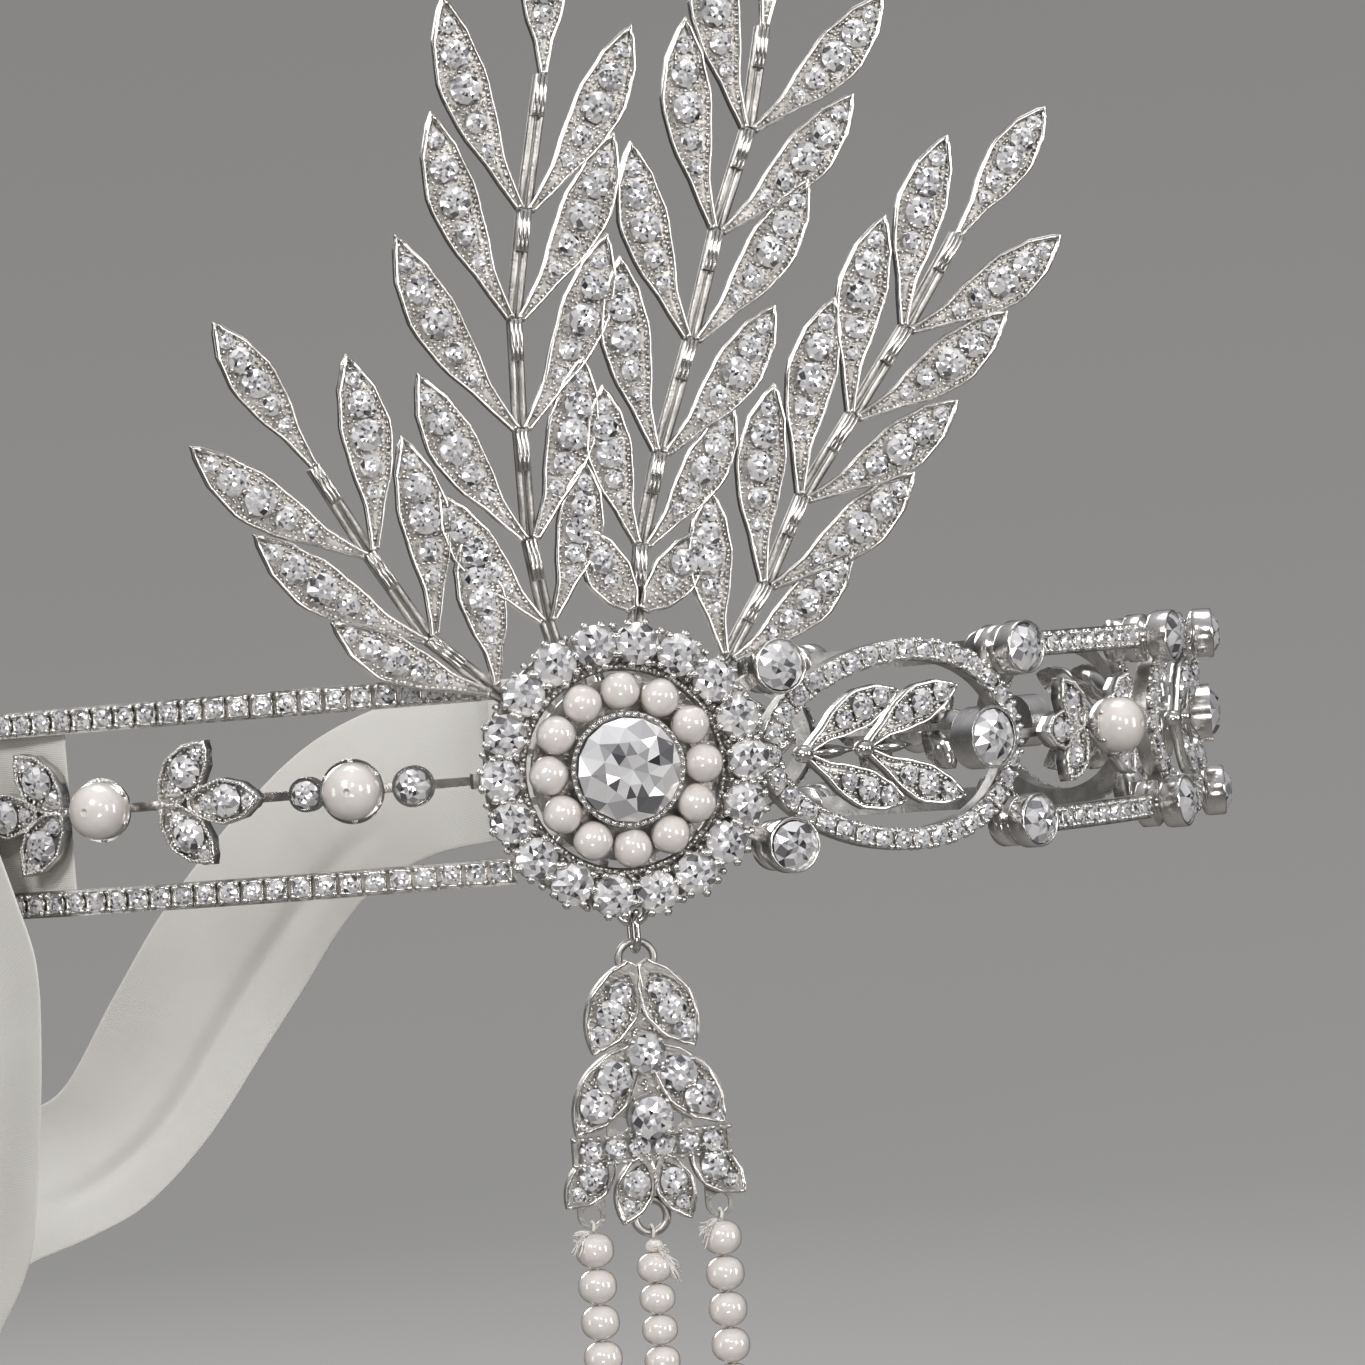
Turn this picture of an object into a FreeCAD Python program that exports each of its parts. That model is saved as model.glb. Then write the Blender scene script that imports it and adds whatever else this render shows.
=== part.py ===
import FreeCAD, Part
import math
import os
from FreeCAD import Vector

# Bridal bandeau headpiece with a side medallion, leaf sprays, a pearl tassel and ribbon ties.
# Frame: origin at the centre of the band's plan circle, at mid height. +Z up, medallion at -Y.
# Angles round the band are measured from -Y towards +X, in degrees. Lengths are in mm.

# Band
BAND_R = 85.0               # radius of the band's middle surface
RAIL_Z = 9.75               # height of a rail's centre line above or below the middle
RAIL_HEIGHT = 2.8
RAIL_BACK = -0.9            # rail back, measured outwards from the middle surface
RAIL_FLOOR = 0.1            # channel floor that the stones sit on
RAIL_RIM = 0.8              # top of the channel's two rims
RAIL_RIM_WIDTH = 0.3
RAIL_STONE = 2.1
RAIL_STONE_PITCH = 2.65
BAR_WIRE = 1.0              # middle bar of the panels

# Panels on the long side
FIRST_JUNCTION = 11.5       # degrees
PANEL_SPAN = 21.3           # degrees
OVAL_PANELS = 4
PEARL_PANELS = 3
JUNCTIONS = [FIRST_JUNCTION + PANEL_SPAN * i for i in range(OVAL_PANELS + PEARL_PANELS + 1)]
CORNER_Z = 9.5
CORNER_DIA = 6.0
CORNER_STONE = 5.2
CORNER_BACK = -1.6
CORNER_TOP = 4.4

# Oval panel
OVAL_HALF_LENGTH = 17.2
OVAL_HALF_HEIGHT = 11.3
OVAL_STRIP = 2.3            # width of the oval frame's strip
OVAL_STRIP_BACK = -0.9
OVAL_STRIP_FRONT = 0.7
OVAL_STONE = 2.2
OVAL_STONES = 34
SPRIG_LEAF = (14.3, 4.4)    # length and width
SPRIG_NODES = (-13.6, -5.6) # where its two leaf pairs spring from, along the panel
SPRIG_SPREAD = 25.0
SPRIG_LIFT = 0.9
OVAL_COLLET_X = 10.8
OVAL_COLLET_DIA = 6.9
OVAL_COLLET_STONE = 6.2

# Pearl panel and rear section
PEARL_DIA = 6.2
PEARL_LIFT = 4.0            # pearl centre above the middle surface
CUP_WALL = 0.4
TREFOIL_JOINT = 3.6         # from the pearl's centre
TREFOIL_LEAF = (6.8, 4.4)
TREFOIL_SPREAD = 58.0
TREFOIL_LIFT = 0.4
REAR_END = -49.3            # degrees
REAR_START = -7.9
REAR_PEARLS = (27.7, 55.0)  # arc lengths from the medallion's centre
REAR_COLLETS = ((21.7, 4.4), (32.9, 3.7))
REAR_TREFOILS = ((48.8, 1), (61.2, -1))
REAR_TREFOIL_LEAF = (8.6, 5.0)
REAR_TREFOIL_NECK = 3.0
REAR_TREFOIL_SPREAD = 50.0
TREFOIL_NECK = 1.0
PANEL_RAIL_INSET = 1.7      # degrees from a junction to where a pearl panel's rails start
NEAR_BAR = -50.8            # degrees, where the two ribbon bars stand
FAR_BAR = 163.9
BAR_HALF_HEIGHT = 11.9
BAR_DIA = 1.6

# Medallion
HALO_R = 13.3
HALO_STONES = 18
HALO_STONE = 4.0
HALO_CUP = 4.5
HALO_SEAT = 1.2             # seat of a halo stone above the plate
PEARL_RING_R = 8.3
RING_PEARLS = 12
RING_PEARL = 4.1
CENTRE_STONE = 11.0
CENTRE_BEZEL_R = 6.1
PLATE_BACK = 0.5            # medallion plate, outwards from the middle surface
PLATE_FRONT = 1.5
STRAP_BACK = -0.9
STRAP_ANGLES = ((0, 16.1), (29, 18.2), (-29, 18.2), (180, 15.8))  # direction and reach of each strap
EYELET_R = 1.5
EYELET_WIRE = 0.8
EYELET_Z = -14.8
EYELET_LIFT = 1.0

# Leaves: share of the half width at each share of the length
SLIM_LEAF = ((0.0, 0.17), (0.2, 0.36), (0.42, 0.80), (0.62, 1.0), (0.82, 0.74), (0.94, 0.34), (1.0, 0.0))
BROAD_LEAF = ((0.0, 0.26), (0.2, 0.74), (0.48, 1.0), (0.75, 0.78), (0.92, 0.34), (1.0, 0.0))
LEAF_WIDTH = 5.6
LEAF_BOW = 0.05             # sideways bow of a leaf, as a share of its length
LEAF_RIM = 0.42
LEAF_FLOOR = 0.55
LEAF_HEIGHT = 1.25
LEAF_STONES = ((0.29, 1.5), (0.42, 2.2), (0.575, 3.0), (0.735, 2.7), (0.865, 1.7))
SHORT_LEAF_STONES = ((0.38, 1.9), (0.62, 2.9), (0.84, 1.6))
BROAD_LEAF_STONES = ((0.24, 1.5), (0.52, 3.2), (0.80, 1.6))
SPRIG_STONES = ((0.44, 2.0), (0.63, 2.5), (0.83, 2.1))
CRYSTAL_CROWN = 0.48        # height of a crystal, as a share of its diameter

# Sprays, in the medallion's plane, from its centre: where each leaf pair springs from,
# and the length and direction of its left and its right leaf
SPRAY_WIRE = 0.8
SPRAY_WIRE_LIFT = 0.1
SPRAY_LEAF_LIFT = 0.5
SPRAY_ROD = (4.4, 1.3, 0.9) # length, width, thickness
SPRAYS = (
    {"root": (-10.4, 7.6), "tip_base": (-29.9, 34.1), "tip": (18.3, 121), "pairs": (
        ((-12.9, 9.5), (18.4, 152), (15.4, 100)),
        ((-19.2, 15.3), (21.3, 144), (21.2, 95)),
        ((-24.8, 24.7), (21.6, 144), (20.7, 94)))},
    {"root": (-5.4, 11.8), "tip_base": (-2.4, 73.6), "tip": (15.4, 85), "pairs": (
        ((-6.5, 16.2), (17.6, 125), (17.2, 74)),
        ((-7.7, 24.9), (20.8, 119), (20.1, 71)),
        ((-7.7, 36.5), (24.0, 118), (22.6, 63)),
        ((-7.4, 48.1), (23.2, 107), (22.4, 59)),
        ((-5.4, 59.5), (23.8, 106), (22.7, 57)))},
    {"root": (2.4, 12.4), "tip_base": (21.9, 77.4), "tip": (20.0, 78), "pairs": (
        ((3.2, 16.6), (9.9, 114), (10.8, 49)),
        ((4.2, 23.4), (17.2, 98), (17.6, 53)),
        ((7.0, 33.0), (21.0, 96), (20.0, 49)),
        ((11.4, 44.7), (21.7, 102), (21.3, 51)),
        ((15.1, 56.1), (22.6, 93), (20.8, 42)),
        ((19.4, 66.6), (22.0, 95), (20.6, 42)))},
    {"root": (9.6, 8.3), "tip_base": (41.4, 54.0), "tip": (17.0, 51), "pairs": (
        ((12.6, 10.9), (17.5, 90), (17.5, 37)),
        ((17.4, 18.2), (21.3, 82), (20.0, 34)),
        ((22.1, 27.2), (21.5, 75), (19.8, 29)),
        ((28.3, 35.5), (21.6, 75), (20.3, 31)),
        ((34.9, 44.4), (21.2, 72), (19.7, 28)))},
)

# Tassel, hanging below the eyelet, in the plane EYELET_LIFT in front of the middle surface
LINK_WIRE = 0.9
LINK_OUTER = (3.4, 4.6)     # across and along
LINK_TOP = -15.35           # height of the link's top wire
TASSEL_RING_R = 1.9
TASSEL_RING_WIRE = 0.8
TASSEL_APEX = -19.8
TASSEL_BACK = 0.6
TASSEL_BASE = 1.2           # floor of the plate's trays above its back
TASSEL_FRONT = 1.9
TASSEL_BAR = (17.0, 3.0, -20.0)  # width, height, and centre below the apex
TASSEL_HOLE_X = 6.9
TASSEL_HOLE_Y = -26.7
TASSEL_HOLE_DIA = 2.0
TASSEL_TAB_RIM = 0.5        # metal left round a tab's hole, and the tab's thickness
TASSEL_LOOP = (-0.6, -27.4, 1.75, 0.9)  # middle ring: centre, radius of its wire line, wire

# Strands: pearl diameter, pitch along the thread, number, and drop from eye to first pearl centre
SIDE_STRAND = (4.1, 3.8, 18, 3.7)
MIDDLE_STRAND = (3.8, 3.3, 20, 5.4)
STRAND_KNOT = 1.5
THREAD_DIA = 0.6
LOOP_THREAD = 0.36          # thread of the loop through an eye
SIDE_LOOP_R = 0.6           # radius of the loop's middle line
MIDDLE_LOOP_R = 0.8
PEARL_DIMPLE = (1.0, 0.4)   # radius and depth, where the loop sits in the first pearl

# Ribbons
RIBBON_WIDTH = 22.0
RIBBON_THICK = 0.6
RIBBON_FOLD_GAP = 0.35      # between the bar and the ribbon wrapped round it
RIBBON_TUCK = 14.0          # folded-back end that lies inside the band
# Centre lines of the hanging tails: along the band from the bar, up, and outwards
NEAR_TAIL = ((-6.0, -6.0, 3.0), (-2.0, -12.0, 3.3), (1.5, -19.0, 4.0), (2.5, -29.0, 4.6),
             (-0.5, -40.0, 4.8), (-6.5, -51.0, 4.8), (-14.5, -63.0, 4.6), (-20.5, -78.0, 4.4),
             (-23.5, -98.0, 4.2), (-24.5, -125.0, 4.0), (-25.0, -165.0, 4.0), (-25.0, -215.0, 4.0))
FAR_TAIL = ((1.4, 0.0, 0.0), (11.0, 0.0, 0.0), (22.0, -1.2, 0.4), (32.0, -5.5, 1.0),
            (40.0, -14.0, 1.6), (47.0, -26.0, 2.0), (55.0, -37.0, 2.4), (64.0, -47.0, 2.6),
            (74.0, -53.0, 2.6), (85.0, -57.5, 2.6), (94.5, -66.0, 2.4), (99.5, -79.0, 2.2),
            (101.0, -97.0, 2.0), (101.0, -125.0, 2.0), (101.0, -155.0, 2.0), (101.0, -185.0, 2.0))

ORIGIN = Vector(0, 0, 0)
X_AXIS = Vector(1, 0, 0)
Y_AXIS = Vector(0, 1, 0)
Z_AXIS = Vector(0, 0, 1)


def turned(shape, angle, axis=Z_AXIS, centre=ORIGIN):
    copy = shape.copy()
    copy.rotate(centre, axis, angle)
    return copy


def moved(shape, x=0.0, y=0.0, z=0.0):
    copy = shape.copy()
    copy.translate(Vector(x, y, z))
    return copy


def on_band(shape, theta):
    """Put a shape drawn with x along the band, y up and z outwards onto the band at theta."""
    upright = moved(turned(shape, 90, X_AXIS), y=-BAND_R)
    return turned(upright, theta)


def arc_angle(arc_length):
    """Angle round the band of an arc length, in degrees."""
    return math.degrees(arc_length / BAND_R)


def placed(shape, x, y, angle=0.0, z=0.0):
    return moved(turned(shape, angle), x, y, z)


def fused(shapes):
    """One solid, or a few, from shapes that meet."""
    if len(shapes) == 1:
        return shapes[0]
    return shapes[0].multiFuse(shapes[1:]).removeSplitter()


def ring_plate(outer, inner, low, high):
    """Flat ring in the XY plane between two heights."""
    blank = Part.makeCylinder(outer, high - low, Vector(0, 0, low))
    hole = Part.makeCylinder(inner, high - low + 2, Vector(0, 0, low - 1))
    return blank.cut(hole)


def band_shell(low, high):
    """Upright cylindrical shell between two distances from the band's middle surface."""
    height = 4 * RAIL_Z
    base = Vector(0, 0, -height / 2)
    return Part.makeCylinder(BAND_R + high, height, base).cut(
        Part.makeCylinder(BAND_R + low, height, base))


def swept_section(points, start, end):
    """Revolve a closed section, given as (outwards, height), round the band."""
    corners = [Vector(0, -(BAND_R + out), height) for out, height in points]
    face = Part.Face(Part.makePolygon(corners + corners[:1]))
    return turned(face.revolve(ORIGIN, Z_AXIS, end - start), start)


def wire_path(points, diameter):
    """Round wire along straight runs, with ball corners."""
    radius = diameter / 2
    pieces = []
    for start, end in zip(points, points[1:]):
        run = end - start
        pieces.append(Part.makeCylinder(radius, run.Length, start, run))
    for corner in points[1:-1]:
        pieces.append(Part.makeSphere(radius, corner))
    return fused(pieces)


def curve_face(upper, lower):
    """Face between two smooth edges that share their end points."""
    edges = []
    for points in (upper, lower):
        curve = Part.BSplineCurve()
        curve.interpolate([Vector(x, y, 0) for x, y in points])
        edges.append(curve.toShape())
    closing = []
    if upper[0] != lower[0]:
        closing.append(Part.makeLine(Vector(*lower[0], 0), Vector(*upper[0], 0)))
    return Part.Face(Part.Wire([edges[0], edges[1]] + closing))


def bow_at(share, length, bow):
    return 4 * bow * length * share * (1 - share)


def leaf_face(length, width, bow, profile, inset=0.0):
    """Leaf outline from its base at the origin to its tip on +x, or the same drawn in by a margin."""
    upper = []
    lower = []
    for share, part in profile:
        half = part * width / 2
        if inset:
            half = max(half - inset, 0.0)
            share = 0.13 + share * (1 - 0.13 - 2.0 * inset / length)
            if part == profile[0][1]:
                half = 0.12
        middle = bow_at(share, length, bow)
        upper.append((share * length, middle + half))
        lower.append((share * length, middle - half))
    return curve_face(upper, lower)


def leaf_tray(length, width, bow, profile, height=LEAF_HEIGHT, floor=LEAF_FLOOR):
    outside = leaf_face(length, width, bow, profile).extrude(Vector(0, 0, height))
    pocket = leaf_face(length, width, bow, profile, LEAF_RIM).extrude(Vector(0, 0, height))
    return outside.cut(moved(pocket, z=floor))


def crystal(diameter):
    """Round crystal standing on the XY plane: pavilion, girdle, crown and table."""
    radius = diameter / 2
    profile = ((0, 0), (0.62, 0), (1.0, 0.50), (1.0, 0.60), (0.58, 2 * CRYSTAL_CROWN),
               (0, 2 * CRYSTAL_CROWN))
    points = [Vector(across * radius, 0, up * radius) for across, up in profile]
    face = Part.Face(Part.makePolygon(points + points[:1]))
    return face.revolve(ORIGIN, Z_AXIS, 360)


def leaf_crystals(stones, length, bow, floor=LEAF_FLOOR):
    return [moved(crystal(size), share * length, bow_at(share, length, bow), floor)
            for share, size in stones]


def collet(diameter, back, top, stone):
    """Round cup between two heights, with a seat for its stone."""
    radius = diameter / 2
    seat = stone * 0.30
    body = Part.makeCylinder(radius, top - back, Vector(0, 0, back))
    return body.cut(Part.makeCylinder(stone / 2 + 0.03, seat + 1, Vector(0, 0, top - seat)))


def collet_crystal(top, stone):
    return moved(crystal(stone), z=top - stone * 0.30)


def pearl_cup():
    radius = PEARL_DIA / 2
    shell = Part.makeSphere(radius + CUP_WALL, Vector(0, 0, PEARL_LIFT))
    hollow = Part.makeSphere(radius, Vector(0, 0, PEARL_LIFT))
    lid = Part.makeBox(20, 20, 20, Vector(-10, -10, PEARL_LIFT - 0.6))
    return shell.cut(hollow).cut(lid)


# ---------------------------------------------------------------- band pieces

def rail(start, end, side):
    middle = side * RAIL_Z
    half = RAIL_HEIGHT / 2
    inner = half - RAIL_RIM_WIDTH
    section = ((RAIL_BACK, -half), (RAIL_RIM, -half), (RAIL_RIM, -inner), (RAIL_FLOOR, -inner),
               (RAIL_FLOOR, inner), (RAIL_RIM, inner), (RAIL_RIM, half), (RAIL_BACK, half))
    return swept_section([(out, middle + up) for out, up in section], start, end)


def rail_crystals(start, end, side):
    pitch = arc_angle(RAIL_STONE_PITCH)
    count = int((end - start) / pitch)
    first = (start + end) / 2 - pitch * (count - 1) / 2
    stone = moved(crystal(RAIL_STONE), y=side * RAIL_Z, z=RAIL_FLOOR)
    return [on_band(stone, first + pitch * i) for i in range(count)]


def middle_bar(start, end):
    half = BAR_WIRE / 2
    section = ((-1.0, -half), (0.0, -half), (0.0, half), (-1.0, half))
    return swept_section(section, start, end)


def trefoil(leaf, spread, neck, side):
    """Three broad leaves fanning to the +x side (side 1) or the -x side (side -1)."""
    length, width = leaf
    height = 1.6
    tray = leaf_tray(length, width, 0, BROAD_LEAF, height, LEAF_FLOOR)
    pieces = [placed(tray, 0, 0, spread), placed(tray, 0, 0, -spread), moved(tray, neck)]
    pieces.append(Part.makeBox(neck + 1.6, 1.6, 0.8, Vector(-0.8, -0.8, 0)))
    body = fused(pieces)
    return body if side > 0 else turned(body, 180)


def trefoil_stones(leaf, spread, neck, side):
    length = leaf[0]
    scale = length / REAR_TREFOIL_LEAF[0]
    stones = [(share, size * scale) for share, size in BROAD_LEAF_STONES]
    shapes = []
    for crystal_shape in leaf_crystals(stones, length, 0):
        shapes.append(placed(crystal_shape, 0, 0, spread))
        shapes.append(placed(crystal_shape, 0, 0, -spread))
        shapes.append(moved(crystal_shape, neck))
    return shapes if side > 0 else [turned(shape, 180) for shape in shapes]


def oval_outline(margin=0.0):
    """Egg-shaped outline, narrower at its left end, drawn in by a margin."""
    across = (OVAL_HALF_LENGTH - margin) / OVAL_HALF_LENGTH
    up = (OVAL_HALF_HEIGHT - margin) / OVAL_HALF_HEIGHT
    half_height = OVAL_HALF_HEIGHT
    shape = ((-1.0, 0.0), (-0.90, 0.42), (-0.60, 0.77), (-0.16, 0.98), (0.22, 1.0), (0.60, 0.84),
             (0.88, 0.49), (1.0, 0.0))
    top = [(x * OVAL_HALF_LENGTH * across, y * half_height * up) for x, y in shape]
    bottom = [(x, -y) for x, y in reversed(top[1:-1])]
    curve = Part.BSplineCurve()
    curve.interpolate(Points=[Vector(x, y, 0) for x, y in top + bottom], PeriodicFlag=True)
    return Part.Wire(curve.toShape())


def oval_frame():
    """Oval strip bent to the band's radius, drawn at angle 0."""
    outer = Part.Face(oval_outline()).extrude(Vector(0, 0, 12))
    inner = Part.Face(oval_outline(OVAL_STRIP)).extrude(Vector(0, 0, 14))
    ring = moved(outer, z=-6).cut(moved(inner, z=-7))
    return on_band(ring, 0).common(band_shell(OVAL_STRIP_BACK, OVAL_STRIP_FRONT))


def oval_frame_crystals():
    middle = oval_outline(OVAL_STRIP / 2)
    stone = moved(crystal(OVAL_STONE), z=OVAL_STRIP_FRONT)
    stones = []
    for point in middle.discretize(Number=OVAL_STONES + 1)[:-1]:
        theta = math.degrees(math.asin(point.x / BAND_R))
        stones.append(on_band(moved(stone, y=point.y), theta))
    return stones


def oval_sprig():
    """Two leaf pairs and two bright blades on a short stem, as one casting."""
    length, width = SPRIG_LEAF
    pieces = []
    for node in SPRIG_NODES:
        for side in (1, -1):
            tray = leaf_tray(length, width, side * LEAF_BOW, SLIM_LEAF)
            pieces.append(placed(tray, node, 0, side * SPRIG_SPREAD, SPRIG_LIFT))
        blade = leaf_face(5.2, 1.5, 0, BROAD_LEAF).extrude(Vector(0, 0, 0.9))
        pieces.append(moved(blade, node + 0.8, 0, SPRIG_LIFT))
        pieces.append(Part.makeSphere(1.1, Vector(node, 0, SPRIG_LIFT + 0.6)))
    stem_start = -OVAL_HALF_LENGTH + OVAL_STRIP - 0.3
    stem = Part.makeBox(SPRIG_NODES[1] - stem_start, 1.0, 0.9, Vector(stem_start, -0.5, SPRIG_LIFT))
    return fused(pieces + [stem])


def oval_sprig_crystals():
    length = SPRIG_LEAF[0]
    stones = []
    for node in SPRIG_NODES:
        for side in (1, -1):
            for stone in leaf_crystals(SPRIG_STONES, length, side * LEAF_BOW):
                stones.append(placed(stone, node, 0, side * SPRIG_SPREAD, SPRIG_LIFT))
    return stones


# ---------------------------------------------------------------- medallion

def medallion_plate():
    """Pierced plate behind the settings, with straps that carry it on the band."""
    halo = ring_plate(HALO_R + 1.4, HALO_R - 1.4, PLATE_BACK, PLATE_FRONT)
    pearls = ring_plate(PEARL_RING_R + 1.3, CENTRE_BEZEL_R - 0.9, PLATE_BACK, PLATE_FRONT)
    spoke_length = HALO_R - PEARL_RING_R
    spoke = Part.makeBox(spoke_length, 0.8, 0.9, Vector(PEARL_RING_R, -0.4, PLATE_BACK))
    spokes = [turned(spoke, 360 * (i + 0.5) / RING_PEARLS) for i in range(RING_PEARLS)]
    post = Part.makeCylinder(0.5, 0.8, Vector(PEARL_RING_R, 0, PLATE_FRONT - 0.2))
    posts = [turned(post, 90 + 360 * i / RING_PEARLS) for i in range(RING_PEARLS)]
    inner = HALO_R - 0.8
    straps = [turned(Part.makeBox(reach - inner, 1.6, PLATE_BACK + 0.4 - STRAP_BACK,
                                  Vector(inner, -0.8, STRAP_BACK)), angle)
              for angle, reach in STRAP_ANGLES]
    return fused([halo, pearls] + spokes + posts + straps)


def halo_positions():
    """Angles of the halo stones, with a gap at the bottom for the tassel's link."""
    return [-90 + 360 * (i + 0.5) / HALO_STONES for i in range(HALO_STONES)]


def halo_cup():
    seat = PLATE_FRONT + HALO_SEAT
    foot = Part.makeCone(1.3, HALO_CUP / 2, HALO_SEAT, Vector(0, 0, PLATE_FRONT))
    rim = ring_plate(HALO_CUP / 2, HALO_STONE / 2 + 0.02, seat, seat + 0.8)
    return moved(fused([foot, rim]), HALO_R)


def halo_crystal():
    return moved(crystal(HALO_STONE), HALO_R, z=PLATE_FRONT + HALO_SEAT)


def ring_pearls():
    lift = PLATE_FRONT + 0.5 + RING_PEARL / 2
    pearl = Part.makeSphere(RING_PEARL / 2, Vector(PEARL_RING_R, 0, lift))
    drill = Part.makeCylinder(0.5, 1.2, Vector(PEARL_RING_R, 0, PLATE_FRONT - 0.4))
    bored = pearl.cut(drill)
    return [turned(bored, 90 + 360 * i / RING_PEARLS) for i in range(RING_PEARLS)]


def centre_bezel():
    top = PLATE_FRONT + 3.6
    wall = ring_plate(CENTRE_BEZEL_R, CENTRE_STONE / 2 + 0.03, PLATE_FRONT, top)
    ledge = ring_plate(CENTRE_BEZEL_R - 0.3, CENTRE_STONE / 2 - 1.0, PLATE_FRONT, PLATE_FRONT + 1.2)
    return fused([wall, ledge])


def centre_crystal():
    return moved(crystal(CENTRE_STONE), z=PLATE_FRONT + 1.2)


def torus_upright(radius, wire, x, y, z):
    """Wire ring whose plane faces the front (x along the band, y up, z outwards)."""
    return Part.makeTorus(radius, wire / 2, Vector(x, y, z))


# ---------------------------------------------------------------- sprays

def heading(start, end):
    return math.degrees(math.atan2(end[1] - start[1], end[0] - start[0]))


def sidestep(point, direction, distance):
    """Point moved to the left of a direction by a distance."""
    angle = math.radians(direction + 90)
    return (point[0] + distance * math.cos(angle), point[1] + distance * math.sin(angle))


def spray_stem(spray):
    """Two parallel wires and the short square rods that carry the leaf pairs."""
    line = [spray["root"]] + [pair[0] for pair in spray["pairs"]] + [spray["tip_base"]]
    shapes = []
    for side in (1, -1):
        path = []
        for i, point in enumerate(line):
            before = line[max(i - 1, 0)]
            after = line[min(i + 1, len(line) - 1)]
            x, y = sidestep(point, heading(before, after), side * 0.45)
            path.append(Vector(x, y, SPRAY_WIRE_LIFT))
        shapes.append(wire_path(path, SPRAY_WIRE))
    length, width, thickness = SPRAY_ROD
    rod = Part.makeBox(length, width, thickness, Vector(-length, -width / 2, SPRAY_LEAF_LIFT))
    for before, point in zip(line[1:], line[2:]):
        shapes.append(placed(rod, point[0], point[1], heading(before, point)))
    return shapes


def spray_leaf_places(spray):
    """(x, y, direction, length, bow side) of every leaf of a spray."""
    line = [pair[0] for pair in spray["pairs"]] + [spray["tip_base"]]
    places = []
    for i, (base, left, right) in enumerate(spray["pairs"]):
        along = heading(line[i], line[i + 1])
        for (length, direction), side in ((left, 1), (right, -1)):
            x, y = sidestep(base, along, side * 0.55)
            places.append((x, y, direction, length, side))
    length, direction = spray["tip"]
    places.append((*spray["tip_base"], direction, length, 0))
    return places


def spray_leaves(spray):
    leaves = []
    for x, y, direction, length, side in spray_leaf_places(spray):
        profile = BROAD_LEAF if length < 12 else SLIM_LEAF
        width = LEAF_WIDTH * (0.92 if length < 19 else 1.0)
        tray = leaf_tray(length, width, side * LEAF_BOW, profile)
        leaves.append(placed(tray, x, y, direction, SPRAY_LEAF_LIFT))
    return leaves


def spray_crystals(spray):
    stones = []
    for x, y, direction, length, side in spray_leaf_places(spray):
        pattern = SHORT_LEAF_STONES if length < 12 else LEAF_STONES
        scale = 0.9 if length < 19 else 1.0
        sized = [(share, size * scale) for share, size in pattern]
        for stone in leaf_crystals(sized, length, side * LEAF_BOW):
            stones.append(placed(stone, x, y, direction, SPRAY_LEAF_LIFT))
    return stones


# ---------------------------------------------------------------- tassel

def tassel_link():
    """Oblong link in the plane across the band, drawn on the band at angle 0."""
    across = (LINK_OUTER[0] - LINK_WIRE) / 2
    straight = LINK_OUTER[1] - LINK_OUTER[0]
    top_centre = LINK_TOP - across
    bottom_centre = top_centre - straight
    pieces = []
    for centre, keep_low in ((top_centre, 0), (bottom_centre, -10)):
        ring = Part.makeTorus(across, LINK_WIRE / 2, Vector(0, centre, EYELET_LIFT), X_AXIS)
        half = Part.makeBox(10, 10, 10, Vector(-5, centre + keep_low, EYELET_LIFT - 5))
        pieces.append(ring.common(half))
    for side in (1, -1):
        low = Vector(0, bottom_centre, EYELET_LIFT + side * across)
        pieces.append(Part.makeCylinder(LINK_WIRE / 2, straight, low, Y_AXIS))
    return fused(pieces)


# Leaves of the plate: base below the apex, length, width, direction and stones, right-hand half
TASSEL_LEAVES = (
    ((0.5, -0.6), 10.6, 5.6, -62, ((0.33, 2.3), (0.56, 2.8), (0.80, 2.3))),
    ((1.2, -9.6), 11.0, 5.6, -52, ((0.34, 3.5), (0.66, 3.3), (0.90, 1.5))),
    ((4.3, -20.6), 7.4, 4.4, -44, ((0.42, 2.6), (0.75, 1.6))),
    ((0.7, -20.8), 7.8, 4.2, -68, ((0.42, 2.6), (0.76, 1.6))),
)
TASSEL_CENTRE_STONES = ((-10.3, 3.7), (-16.9, 4.1))


def tassel_outline():
    """Leaf prisms, bar, centre cups, tabs and rings, all at full height."""
    height = TASSEL_FRONT - TASSEL_BACK
    pieces = []
    pockets = []
    for (x, y), length, width, direction, stones in TASSEL_LEAVES:
        solid = leaf_face(length, width, 0, BROAD_LEAF).extrude(Vector(0, 0, height))
        hollow = leaf_face(length, width, 0, BROAD_LEAF, LEAF_RIM).extrude(Vector(0, 0, height))
        for mirrored in (False, True):
            place_x = -x if mirrored else x
            angle = 180 - direction if mirrored else direction
            pieces.append(placed(solid, place_x, y, angle))
            pockets.append(placed(hollow, place_x, y, angle, TASSEL_BASE - TASSEL_BACK))
    width, bar_height, middle = TASSEL_BAR
    pieces.append(Part.makeBox(width, bar_height, height, Vector(-width / 2, middle - bar_height / 2, 0)))
    rim = LEAF_RIM
    pockets.append(Part.makeBox(width - 2 * rim, bar_height - 2 * rim, height,
                                Vector(-width / 2 + rim, middle - bar_height / 2 + rim,
                                       TASSEL_BASE - TASSEL_BACK)))
    return pieces, pockets


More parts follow.
